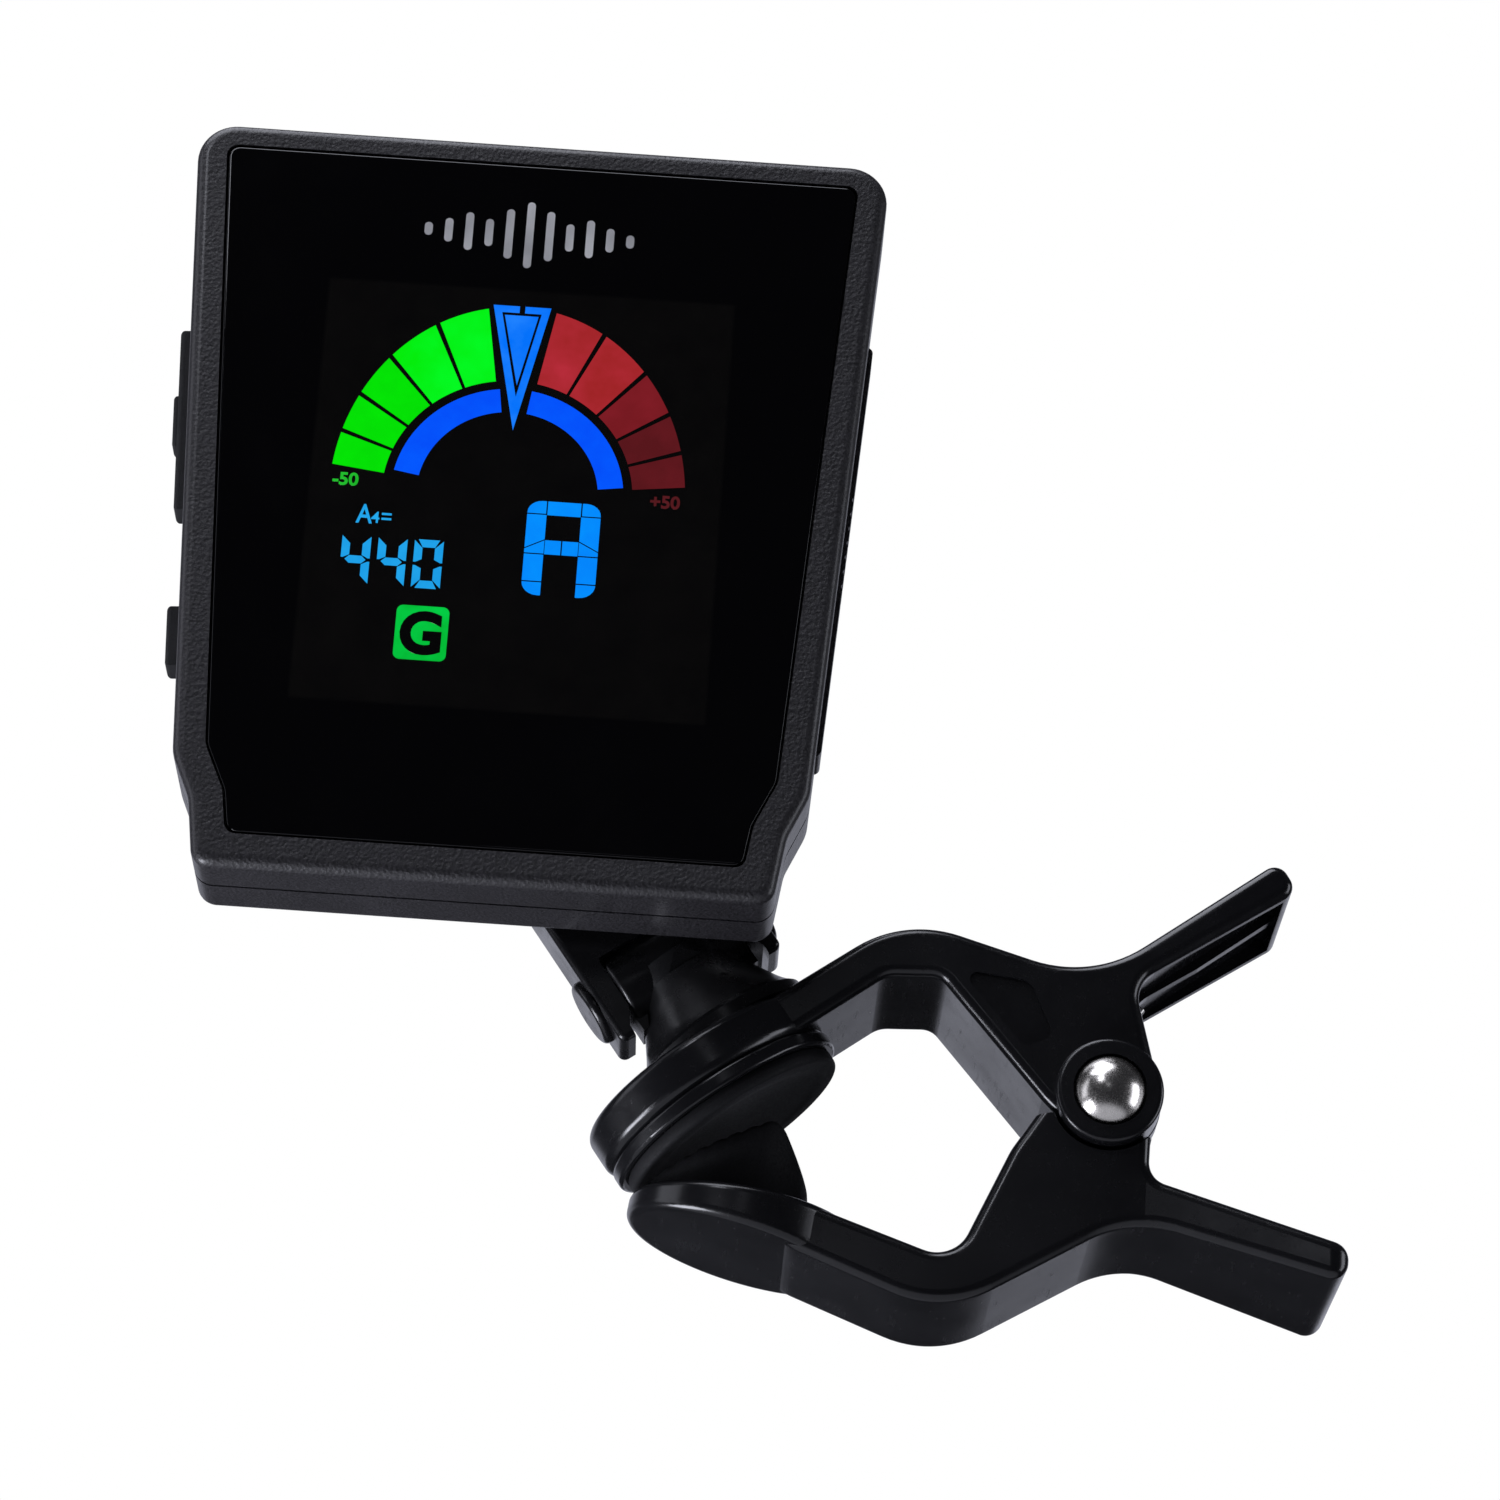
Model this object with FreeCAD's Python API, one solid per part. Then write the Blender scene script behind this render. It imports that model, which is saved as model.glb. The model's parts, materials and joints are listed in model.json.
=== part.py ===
import FreeCAD, Part
import math
import os

# Clip-on instrument tuner: a display head on a jointed arm, on the upper jaw of a sprung clip.
# +Z is the display's up, -Y is the way the display faces, +X points to the clip's handles.
# Outlines are drawn from the clip's pivot; save() shifts them so that the row's origin
# is the middle of the lower pad's grip face.

V = FreeCAD.Vector
RUN = 0.05            # radial or axial clearance of a running fit
SEAT = 0.02           # clearance of parts that are assembled and stay put
TINY = 0.1            # overlap that makes a cut go right through

# ---- clip ----
PIVOT_X, PIVOT_Z = 28.0, 4.9          # pivot axis from the row's origin
HALF_W = 7.0                          # half the width of both jaws
CHEEK_IN = 4.8                        # inner face of the upper jaw's cheeks
LUG_OUT = 4.6                         # outer face of the lower jaw's lugs
LUG_IN = 2.5                          # inner face of the lugs, room for the spring
LUG_R = 4.05
BOSS_R, BOSS_OUT, BOSS_EDGE = 4.0, 8.2, 0.4      # raised round bosses on the cheeks
RELIEF_R = 4.35                       # the lower jaw is narrow inside this radius
RIVET_R = 1.5
DOME_R, DOME_H, DOME_RIM = 2.65, 1.7, 0.3
DOME_POCKET_R, DOME_POCKET = 2.75, 0.6
TAIL_R, TAIL_REACH = 0.9, 1.0         # thin end of the rivet, pressed into its cap
SPRING_WIRE_R, SPRING_R, SPRING_PITCH = 0.38, 2.75, 0.86
SPRING_START, SPRING_END, SPRING_TURNS = 148.0, 235.0, 3      # leg angles and whole turns
UPPER_LEG, LOWER_LEG = 9.6, 5.8
JAW_EDGE = 0.8                        # rounding of the jaws' long edges
HANDLE_X0, HANDLE_END_X = 3.0, 18.0   # the lower handle widens between these
HANDLE_END_HALF, HANDLE_END_R = 9.0, 1.4
CHEEK_RELIEF = 0.35                   # depth of the shallow recess in the arch's sides
CHANNEL_HALF, RIB_HALF = 5.6, 0.5     # open channel under the upper handle, and its rib
COUNTERBORE_R, COUNTERBORE = 4.3, 2.0 # from the flat down to the washer's seat
HOLDER_PEG_R, HOLDER_PEG_Y, HOLDER_PEG_L = 0.9, 6.6, 1.2
BUTTON_R, BUTTON_L = 3.0, 0.45        # round plug that keeps the upper pad in its holder
PEG_R, PEG_L = 2.0, 1.2               # peg under the wedge pad
NEAR_PIVOT = 5.8                      # edges this close to the pivot stay sharp

# ---- upper jaw's flat, where the arm stands ----
JAW_SLOPE = 36.6                      # degrees from +X
STEM_X, STEM_Z = -28.1, 3.85          # arm's axis on the flat, from the pivot
JAW_T = 3.4                           # thickness of the flat
DISC_R, DISC_SHIFT = 9.75, -3.2       # round end of the upper jaw, along the flat from the stem
HOLDER_T, PAD_T = 1.2, 1.1
HOLDER_R, PAD_R, PAD_EDGE = 9.6, 9.0, 0.35

# ---- lower jaw's round end ----
LOW_SLOPE = -7.0                      # slope of its top face
LOW_X, LOW_Z = -26.2, -9.23           # centre of its top face, from the pivot
LOW_DISC_R = 8.7
LOW_TIP_T, LOW_ROOT_T = 1.9, 3.1      # the round end thickens towards the knee
LOW_RIM = 0.7
LOW_DISC_EXTRA = 0.9                  # more thickness where the round end runs into the jaw
LOW_PAD_R = 6.1
LOW_PAD_ALONG = -1.75                 # centre of the wedge pad, along the round end
GRIP_SLOPE = 26.5                     # slope of the wedge pad's grip face
WEDGE_TIP, WEDGE_HIGH = -7.5, 3.9     # ends of the grip face, from its middle
WEDGE_BACK, WEDGE_DROP = 3.0, 4.6     # steep back of the wedge
WEDGE_CREST_R, WEDGE_BACK_R, WEDGE_EDGE = 2.8, 1.2, 0.5

# ---- outlines in the side view, from the pivot: (x, z) or (x, z, rounding radius) ----
UPPER_OUTLINE = [(-15.8, 12.95, 9.0), (-1.6, 9.0, 9.5), (12.1, 19.4, 1.1), (13.6, 17.1, 1.1),
                 (1.6, 8.95, 2.5), (3.6, 1.5), (2.6, -2.9), (-2.4, -3.1), (-4.9, -0.6),
                 (-12.9, 8.4, 1.6), (-16.9, 8.2, 2.2)]
LUG_POCKET = [(-5.4, -7.0), (-3.6, 4.6, 2.0), (0.6, 6.6, 1.0), (6.0, 9.5), (9.0, -7.0)]
HANDLE_CHANNEL = [(0.0, 5.0), (0.0, 8.1, 1.0), (12.0, 17.35, 0.4), (13.6, 15.0), (6.0, 5.0)]
CHANNEL_RIB = [(1.0, 8.0), (1.0, 9.2), (12.5, 18.0), (12.9, 17.2)]
ARCH_RECESS = [(-11.6, 9.0, 0.6), (-6.2, 8.4, 1.2), (-4.2, 4.2, 0.8), (-6.4, 3.2, 0.6)]
KNEE_OUTLINE = [(-10.8, -13.4, 2.6), (-7.0, -4.6, 6.0), (-5.3, -1.9), (0.0, -1.0), (3.3, -1.0)]
HANDLE_OUTLINE = [(3.2, -6.1, 1.8), (18.0, -10.85, 1.3), (17.8, -13.65, 1.3), (2.05, -9.2, 8.0)]
KNEE_LOW = (-11.4, -17.5, 8.5)
SPRING_BAY = [(-6.0, 5.0), (-4.3, -4.4, 1.0), (1.0, -5.2, 1.0), (4.6, -6.7), (7.0, 5.0)]

# ---- arm ----
FLANGE_R, FLANGE_T = 7.0, 1.6
SPIGOT_R = 2.5
KNUCKLE_Z, KNUCKLE_R, KNUCKLE_HALF = 7.9, 3.3, 5.1
FORK_IN, FORK_OUT, FORK_HALF_D = 5.2, 7.15, 2.75
FORK_MOUTH = 5.95                     # the fork is wider inside at its mouth, round the flare
FORK_BOTTOM, FORK_TOP = 4.0, 13.4
WEB_Y, WEB_LOW = -2.15, 10.6          # web across the front of the fork's slot
YOKE_EDGE, YOKE_FOOT_R = 0.5, 0.6
RELIEF_X0, RELIEF_X1, RELIEF_Z0, RELIEF_Z1 = 0.6, 5.2, 16.0, 24.8      # windows in the arm's back
RELIEF_Y, RELIEF_CORNER = 1.0, 0.8
SHOULDER_HALF_D, SHOULDER_Z = 1.8, 4.2      # shoulders that fill the fork beside the neck
PIN_R, PIN_HEAD_R, PIN_HEAD_T, PIN_HEAD_EDGE = 1.2, 2.6, 0.6, 0.45
PIN_REACH = 0.3                       # the pin's far end, inside its cap
SMALL_SCREW_R, SMALL_HEAD_R = 0.9, 1.9
BASE_HEAD_T, POST_HEAD_T = 0.75, 1.0
SLOT_HALF_L, SLOT_HALF_W, SLOT_T = 1.2, 0.2, 0.4      # cross slot of the screws
SPIGOT_L = 2.0
WASHER_T = 0.5
BASE_WASHER_R, POST_WASHER_R, FRICTION_R = 4.0, 4.4, 5.3
SCREW_TIP = 4.0                       # tip of the base screw, in the swivel base
POST_SCREW_TIP = -1.3                 # tip of the post screw, in the arm
NECK_R, NECK_Z = 4.1, 6.4
# the swivel base's profile: (radius, height over the flat)
FLARE = [(6.6, 1.6), (6.2, 2.1), (5.55, 3.2), (4.7, 4.8), (NECK_R, NECK_Z)]
SWIVEL_Z = 32.0                       # head swivel along the arm
POST_R, ARM_BOSS_R, ARM_BOSS_Y = 2.5, 5.5, -3.95

# ---- head, from the head's swivel axis ----
HEAD_X = STEM_X - SWIVEL_Z * math.sin(math.radians(JAW_SLOPE))
HEAD_Z = STEM_Z + SWIVEL_Z * math.cos(math.radians(JAW_SLOPE))
FRONT, PART_Y, REAR = -14.5, -9.9, -4.5
WALL = 1.4
REAR_SKIN = 1.2
TOP_HALF, NOTCH_HALF, FOOT_HALF = 26.85, 23.65, 21.4
HEAD_TOP, NOTCH_TOP, NOTCH_LOW, HEAD_LOW = 41.75, -10.3, -13.7, -19.0
NOTCH_STEP, NOTCH_R = 0.75, 3.2       # the notch's lower corner stands out by the step
TOP_CORNER_R, FOOT_CORNER_R = 3.0, 1.5
FRONT_EDGE, REAR_EDGE = 0.9, 1.0
SEAM_W, SEAM_DEPTH = 0.3, 0.9         # groove between the two housing halves
LENS_TOP, LENS_LOW = 39.75, -16.35
LENS_TOP_HALF, LENS_NOTCH_HALF, LENS_FOOT_HALF = 24.3, 21.1, 19.0
LENS_NOTCH_TOP, LENS_NOTCH_LOW, LENS_NOTCH_STEP = -9.6, -13.1, 0.5
LENS_FRONT, LENS_T = -14.5, 1.4
LENS_GAP, LENS_EDGE = 0.14, 0.22
GASKET_T = 0.2
LEDGE_T = 0.9                         # thickness of the bezel's seat behind the lens
LCD_W, LCD_H, LCD_Z, LCD_T = 31.0, 34.5, 11.8, 1.6
LIGHT_INSET, ZEBRA_L, ZEBRA_H = 1.0, 24.0, 1.2
BOARD_FRONT, BOARD_T = -10.4, 0.6
SCREW_SPOTS = ((22.0, 36.4), (-22.0, 36.4), (18.4, -15.4), (-18.4, -15.4))
SCREW_R, SCREW_HEAD_R, SCREW_HEAD_T, SCREW_BOSS_R = 0.8, 1.5, 0.9, 1.9
SCREW_END = -12.2                     # tip of the housing screws, inside the bezel's bosses
SCREW_SUNK = 0.2

# ---- battery drawer ----
CELL_R, CELL_T, CELL_X, CELL_Z = 10.0, 3.2, 9.5, 17.0
CELL_CAP_INSET, CELL_CAP_T = 1.1, 0.5
TRAY_FLOOR = 0.5
TRAY_RIM = 0.8
TRAY_PLAY = 0.1
THUMB_R = 5.0                         # hole in the tray's floor, to push the cell out
RAIL_T, RAIL_GAP, RAIL_X0, RAIL_X1 = 1.2, 1.2, -4.0, 22.0
BAY_X0, BAY_X1 = 15.0, 30.0           # opening in the rear cover's right wall
STRIP_T, STRIP_GAP = 1.2, 0.12        # the drawer's front strip
GROOVE_R, GROOVE_Z0, GROOVE_PITCH, GROOVES = 0.22, 8.4, 1.2, 7
TRAY_SLOT_X, TRAY_SLOT_T, TRAY_SLOT_HALF = 21.6, 0.8, 8.6
LEAF_HALF = 1.0                       # half-width of the contact leaves
DRAWER_LOW, DRAWER_HIGH = -5.5, 28.5
DRAWER_Y0, DRAWER_Y1 = -9.75, -5.75
DRAWER_PROUD = 0.35

# ---- buttons ----
ROCKER_Z, ROCKER_LEN, ROCKER_PROUD = 18.8, 15.0, 1.15
NUB_LEN, NUB_PROUD = 4.2, 0.35
POWER_Z, POWER_LEN, POWER_PROUD = 0.95, 4.8, 1.3
KEY_Y0, KEY_Y1 = -9.2, -6.4
KEY_GAP = 0.12
KEY_PLAY, KEY_FLANGE = 0.4, 0.6       # room behind the wall for a rocking key, and its flange
KEY_LIP_Y, KEY_LIP_Z = 0.35, 0.6      # how far the flange reaches past the opening
KEY_EDGE, NUB_EDGE, NUB_INSET = 0.35, 0.3, 0.3

# ---- on the circuit board: x0, x1, z0, z1 and height over the board ----
MAIN_CHIP = (-12.5, -5.5, 20.0, 27.0, 1.2)
DRIVER_CHIP = (-12.0, -7.0, 9.0, 14.0, 1.0)
CRYSTAL = (-13.0, -6.5, 31.5, 34.0, 1.6)
CRYSTAL_EDGE = 0.8
SWITCH_X, SWITCH_L, SWITCH_H, SWITCH_HALF, SWITCH_SPREAD = 0.9, 2.7, 2.6, 1.7, 4.8
PLUNGER_X, PLUNGER_L, PLUNGER_H0, PLUNGER_H1, PLUNGER_HALF = 0.4, 0.6, 0.7, 1.9, 0.7
CONTACT_MINUS_X0, CONTACT_MINUS_X1 = -8.5, 4.0        # from the cell's middle
CONTACT_PLUS_X0, CONTACT_PLUS_T, CONTACT_BUMP_R, CONTACT_BUMP = -3.0, 0.2, 0.8, 0.52
PIEZO_X, PIEZO_Z, PIEZO_R, PIEZO_TOP_R, PIEZO_T = -14.5, 0.5, 6.0, 4.2, 0.25


def outline(corners):
    """Closed wire in the XZ plane; each corner is (x, z) or (x, z, rounding radius)."""
    pts = [V(c[0], 0, c[1]) for c in corners]
    radii = [c[2] if len(c) > 2 else 0.0 for c in corners]
    count = len(pts)
    starts, ends, arcs = [], [], []
    for i in range(count):
        here = pts[i]
        back = (pts[i - 1] - here).normalize()
        ahead = (pts[(i + 1) % count] - here).normalize()
        half = math.acos(max(-1.0, min(1.0, back.dot(ahead)))) / 2
        if radii[i] == 0.0:
            starts.append(here)
            ends.append(here)
            arcs.append(None)
            continue
        reach = radii[i] / math.tan(half)
        bisector = (back + ahead).normalize()
        centre = here + bisector * (radii[i] / math.sin(half))
        starts.append(here + back * reach)
        ends.append(here + ahead * reach)
        arcs.append(centre - bisector * radii[i])
    edges = []
    for i in range(count):
        if arcs[i] is not None:
            edges.append(Part.Arc(starts[i], arcs[i], ends[i]).toShape())
        following = starts[(i + 1) % count]
        if ends[i].distanceToPoint(following) > 1e-6:
            edges.append(Part.LineSegment(ends[i], following).toShape())
    return Part.Wire(edges)


def slab(corners, y0, y1):
    """Outline in XZ, solid from y0 to y1."""
    face = Part.Face(outline(corners))
    face.translate(V(0, y0, 0))
    return face.extrude(V(0, y1 - y0, 0))


def box(x0, x1, y0, y1, z0, z1):
    return Part.makeBox(x1 - x0, y1 - y0, z1 - z0, V(x0, y0, z0))


def rod_y(r, y0, y1, x=0.0, z=0.0):
    return Part.makeCylinder(r, y1 - y0, V(x, y0, z), V(0, 1, 0))


def rod_z(r, z0, z1, x=0.0, y=0.0):
    return Part.makeCylinder(r, z1 - z0, V(x, y, z0), V(0, 0, 1))


def rod_x(r, x0, x1, z=0.0, y=0.0):
    return Part.makeCylinder(r, x1 - x0, V(x0, y, z), V(1, 0, 0))


def rounded(shape, radius, wanted):
    """Rounds the edges that wanted(edge) picks."""
    return shape.makeFillet(radius, [e for e in shape.Edges if wanted(e)])


def circle(e):
    return isinstance(e.Curve, Part.Circle)


def sides(inner, outer):
    """The same range of y on both sides, each low to high."""
    return (-outer, -inner), (inner, outer)


def sloped(shape, slope, x, z):
    """From a local frame on a sloping face to the clip's frame."""
    out = shape.copy()
    out.rotate(V(0, 0, 0), V(0, -1, 0), slope)
    out.translate(V(x, 0, z))
    return out


def on_jaw(shape):
    return sloped(shape, JAW_SLOPE, STEM_X, STEM_Z)


def on_low(shape):
    return sloped(shape, LOW_SLOPE, LOW_X, LOW_Z)


def on_head(shape):
    out = shape.copy()
    out.translate(V(HEAD_X, 0, HEAD_Z))
    return out


def save(name, shape):
    out = shape.copy()
    out.translate(V(PIVOT_X, 0, PIVOT_Z))
    if len(out.Solids) == 1:
        out = out.Solids[0]
    assert out.isValid(), name
    out.exportStep("parts/" + name + ".step")
    print(name, len(out.Solids), round(out.Volume, 1))


# ======================= clip =======================

def jaw_point(along, up):
    """Point on the upper jaw's flat, in the clip's frame."""
    a = math.radians(JAW_SLOPE)
    return (STEM_X + along * math.cos(a) - up * math.sin(a), STEM_Z + along * math.sin(a) + up * math.cos(a))


def flat_edge(e):
    """A long side edge of a jaw, in one of its two side planes and clear of the pivot."""
    b = e.BoundBox
    in_side = b.YLength < 1e-4 and abs(abs(b.YMin) - HALF_W) < 1e-4
    near_pivot = all(math.hypot(v.X, v.Z) < NEAR_PIVOT for v in e.Vertexes)
    return in_side and not near_pivot


def upper_profile():
    return [jaw_point(-6.0, -JAW_T), jaw_point(-6.0, 0)] + UPPER_OUTLINE


def cheek_bosses():
    bosses = []
    for y0, y1 in sides(CHEEK_IN, BOSS_OUT):
        boss = rod_y(BOSS_R, y0, y1)
        bosses.append(rounded(boss, BOSS_EDGE, lambda e: circle(e) and abs(e.BoundBox.YMin) > HALF_W))
    return bosses


def handle_channel():
    """Open channel under the upper handle, with a rib along its middle."""
    channel = slab(HANDLE_CHANNEL, -CHANNEL_HALF, CHANNEL_HALF)
    return channel.cut(slab(CHANNEL_RIB, -RIB_HALF, RIB_HALF))


def upper_jaw():
    body = rounded(slab(upper_profile(), -HALF_W, HALF_W), JAW_EDGE, flat_edge)
    disc = rounded(rod_z(DISC_R, -JAW_T, 0, DISC_SHIFT), JAW_EDGE, circle)
    body = body.fuse(on_jaw(disc))
    for boss in cheek_bosses():
        body = body.fuse(boss)
    # room for the lower jaw's lugs and the spring
    pocket = slab(LUG_POCKET, -CHEEK_IN, CHEEK_IN)
    pocket = pocket.fuse(rod_y(RELIEF_R + SEAT, -CHEEK_IN, CHEEK_IN))
    body = body.cut(pocket).cut(handle_channel())
    for y0, y1 in sides(HALF_W - CHEEK_RELIEF, HALF_W + 1):
        body = body.cut(slab(ARCH_RECESS, y0, y1))
    body = body.cut(rod_y(RIVET_R + SEAT, -BOSS_OUT - 1, BOSS_OUT + 1))
    for y0, y1 in sides(BOSS_OUT - DOME_POCKET, BOSS_OUT + 1):
        body = body.cut(rod_y(DOME_POCKET_R, y0, y1))
    # swivel hole and the counterbore for its washer and screw
    body = body.cut(on_jaw(rod_z(SPIGOT_R + RUN, -JAW_T - 1, 1)))
    body = body.cut(on_jaw(rod_z(COUNTERBORE_R, -JAW_T - 1, -COUNTERBORE)))
    # sockets for the pad holder's pegs
    for y in (-HOLDER_PEG_Y, HOLDER_PEG_Y):
        socket = rod_z(HOLDER_PEG_R + SEAT, -JAW_T - 1, -JAW_T + HOLDER_PEG_L + TINY, DISC_SHIFT, y)
        body = body.cut(on_jaw(socket))
    return body


def upper_pad_holder():
    top = -JAW_T - SEAT
    disc = rounded(rod_z(HOLDER_R, top - HOLDER_T, top, DISC_SHIFT), 0.3, circle)
    for y in (-HOLDER_PEG_Y, HOLDER_PEG_Y):
        disc = disc.fuse(rod_z(HOLDER_PEG_R, top - HOLDER_T / 2, -JAW_T + HOLDER_PEG_L, DISC_SHIFT, y))
    hole = rod_z(BUTTON_R, top - HOLDER_T - 1, top - HOLDER_T + BUTTON_L + TINY, DISC_SHIFT)
    return on_jaw(disc.cut(hole))


def upper_pad():
    top = -JAW_T - HOLDER_T - 2 * SEAT
    pad = rod_z(PAD_R, top - PAD_T, top, DISC_SHIFT)
    pad = rounded(pad, PAD_EDGE, lambda e: circle(e) and e.BoundBox.ZMax < top - TINY)
    pad = pad.fuse(rod_z(BUTTON_R - SEAT, top - TINY, top + BUTTON_L, DISC_SHIFT))
    return on_jaw(pad)


def low_point(along, up):
    """Point over the lower jaw's round end, in the clip's frame."""
    a = math.radians(LOW_SLOPE)
    return (LOW_X + along * math.cos(a) - up * math.sin(a), LOW_Z + along * math.sin(a) + up * math.cos(a))


def lower_profile():
    root = [low_point(0.5, -LOW_TIP_T), low_point(0.5, 0), low_point(4.4, 0) + (3.0,)]
    return root + KNEE_OUTLINE + HANDLE_OUTLINE + [KNEE_LOW, low_point(4.0, -LOW_ROOT_T - 0.5) + (4.0,)]


def lower_disc():
    """Round end of the lower jaw, thinner at its tip."""
    reach = LOW_DISC_R + 1
    side = [(-reach, -LOW_TIP_T), (-reach, 0), (reach, 0), (reach, -LOW_ROOT_T - LOW_DISC_EXTRA)]
    disc = slab(side, -reach, reach).common(rod_z(LOW_DISC_R, -2 * LOW_ROOT_T, 1))
    return on_low(rounded(disc, LOW_RIM, lambda e: e.Length > LOW_DISC_R))


def handle_plan():
    """The lower handle seen from above, wider towards its round-cornered end."""
    def half(x):
        return HALF_W + (HANDLE_END_HALF - HALF_W) * (x - HANDLE_X0) / (HANDLE_END_X - HANDLE_X0)
    root = HANDLE_X0 - 1.0
    right = [(root, half(root)), (HANDLE_END_X, half(HANDLE_END_X), HANDLE_END_R)]
    left = [(c[0], -c[1]) + c[2:] for c in reversed(right)]
    plan = slab(right + left, 0, 30)
    plan.rotate(V(0, 0, 0), V(1, 0, 0), 90)
    return plan


def lower_handle():
    """Wide part of the lower handle, with rounded long edges."""
    plan = handle_plan()
    plan.translate(V(0, 0, -20.0))
    handle = slab(lower_profile(), -HANDLE_END_HALF - 1, HANDLE_END_HALF + 1).common(plan)

    def long_edge(e):
        on_side = all(abs(v.Y) > HALF_W - 0.3 for v in e.Vertexes)
        return on_side and e.BoundBox.XLength > 0.3 and e.BoundBox.ZMax < HANDLE_OUTLINE[0][1]

    return rounded(handle, JAW_EDGE, long_edge)


def lower_jaw():
    body = rounded(slab(lower_profile(), -HALF_W, HALF_W), JAW_EDGE, flat_edge)
    body = body.fuse(lower_disc()).fuse(lower_handle())
    # narrow round the pivot, where the cheeks' bosses stand
    for y0, y1 in sides(LUG_OUT, HALF_W + 1):
        body = body.cut(rod_y(RELIEF_R, y0, y1))
    body = body.fuse(rod_y(LUG_R, -LUG_OUT, LUG_OUT))
    body = body.cut(slab(SPRING_BAY, -LUG_IN, LUG_IN))
    body = body.cut(rod_y(RIVET_R + RUN, -HALF_W - 1, HALF_W + 1))
    # seat of the wedge pad's peg
    return body.cut(on_low(rod_z(PEG_R + SEAT, -PEG_L - TINY, 1, LOW_PAD_ALONG)))


def wedge_edge(e):
    """An edge round the wedge pad's grip face or back."""
    across = e.BoundBox.YLength > 2.0 and e.Length > 3.0
    return across and not circle(e) and e.CenterOfMass.z > -7.5


def lower_pad():
    """Wedge pad, thin at the jaw's tip, with its grip face through the row's origin."""
    rise = math.tan(math.radians(GRIP_SLOPE))
    tip = (WEDGE_TIP - PIVOT_X, WEDGE_TIP * rise - PIVOT_Z)
    crest = (WEDGE_HIGH - PIVOT_X, WEDGE_HIGH * rise - PIVOT_Z)
    back_x = crest[0] + WEDGE_BACK
    side = [(tip[0], tip[1] - 4), tip, crest + (WEDGE_CREST_R,),
            (back_x, crest[1] - WEDGE_DROP, WEDGE_BACK_R), (back_x, crest[1] - 12)]
    pad = slab(side, -10, 10).common(on_low(rod_z(LOW_PAD_R, SEAT, 9.0, LOW_PAD_ALONG)))
    pad = rounded(pad, WEDGE_EDGE, wedge_edge)
    return pad.fuse(on_low(rod_z(PEG_R, -PEG_L, 0.5, LOW_PAD_ALONG)))


def dome(y_face, side):
    """Domed head, its flat at y_face, bulging towards side."""
    ball_r = (DOME_R ** 2 + DOME_H ** 2) / (2 * DOME_H)
    ball = Part.makeSphere(ball_r, V(0, y_face + side * (DOME_H - ball_r), 0))
    y0, y1 = sorted((y_face, y_face + side * (DOME_H + 1)))
    return ball.common(rod_y(DOME_R, y0, y1))


def pivot_rivet():
    seat = BOSS_OUT - DOME_POCKET + SEAT
    shaft = rod_y(RIVET_R, -seat, seat - SEAT)
    head = dome(-seat - DOME_RIM, -1).fuse(rod_y(DOME_R, -seat - DOME_RIM, -seat))
    tail = rod_y(TAIL_R, seat - SEAT, seat + TAIL_REACH)
    return shaft.fuse(head).fuse(tail)


def rivet_cap():
    seat = BOSS_OUT - DOME_POCKET + SEAT
    cap = dome(seat + DOME_RIM, 1).fuse(rod_y(DOME_R, seat, seat + DOME_RIM))
    return cap.cut(rod_y(TAIL_R + SEAT, seat - 1, seat + TAIL_REACH + SEAT))


def spring_leg(start_angle, lead, reach, y):
    """Straight leg leaving the coil along its tangent."""
    a = math.radians(start_angle)
    foot = V(SPRING_R * math.cos(a), y, SPRING_R * math.sin(a))
    along = V(-math.sin(a), 0, math.cos(a)) * lead
    return Part.makeCylinder(SPRING_WIRE_R, reach, foot, along)


def torsion_spring():
    sweep = SPRING_END - SPRING_START + 360 * SPRING_TURNS
    length = sweep / 360 * SPRING_PITCH
    helix = Part.makeHelix(SPRING_PITCH, length, SPRING_R)
    section = Part.Wire(Part.makeCircle(SPRING_WIRE_R, V(SPRING_R, 0, 0), V(0, 1, 0)))
    coil = Part.Wire(helix).makePipeShell([section], True, True)
    coil.rotate(V(0, 0, 0), V(1, 0, 0), 90)
    coil.rotate(V(0, 0, 0), V(0, -1, 0), SPRING_START)
    coil.translate(V(0, length / 2, 0))
    upper_leg = spring_leg(SPRING_START, -1, UPPER_LEG, length / 2)
    lower_leg = spring_leg(SPRING_END, 1, LOWER_LEG, -length / 2)
    return coil.fuse(upper_leg).fuse(lower_leg)


# ======================= arm =======================

def flange_profile():
    """Half section of the swivel base: a flange with a flare that narrows to the neck."""
    flange = [(0, RUN), (FLANGE_R - 0.3, RUN), (FLANGE_R, RUN + 0.3), (FLANGE_R, FLANGE_T - 0.35)]
    corners = [V(r, 0, z) for r, z in flange]
    curve = [V(r, 0, z) for r, z in FLARE]
    corners.append(curve[0])
    edges = [Part.LineSegment(a, b).toShape() for a, b in zip(corners, corners[1:])]
    flare = Part.BSplineCurve()
    flare.interpolate(curve)
    edges.append(flare.toShape())
    top = V(0, 0, NECK_Z)
    edges.append(Part.LineSegment(curve[-1], top).toShape())
    edges.append(Part.LineSegment(top, corners[0]).toShape())
    return Part.Wire(edges)


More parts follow.
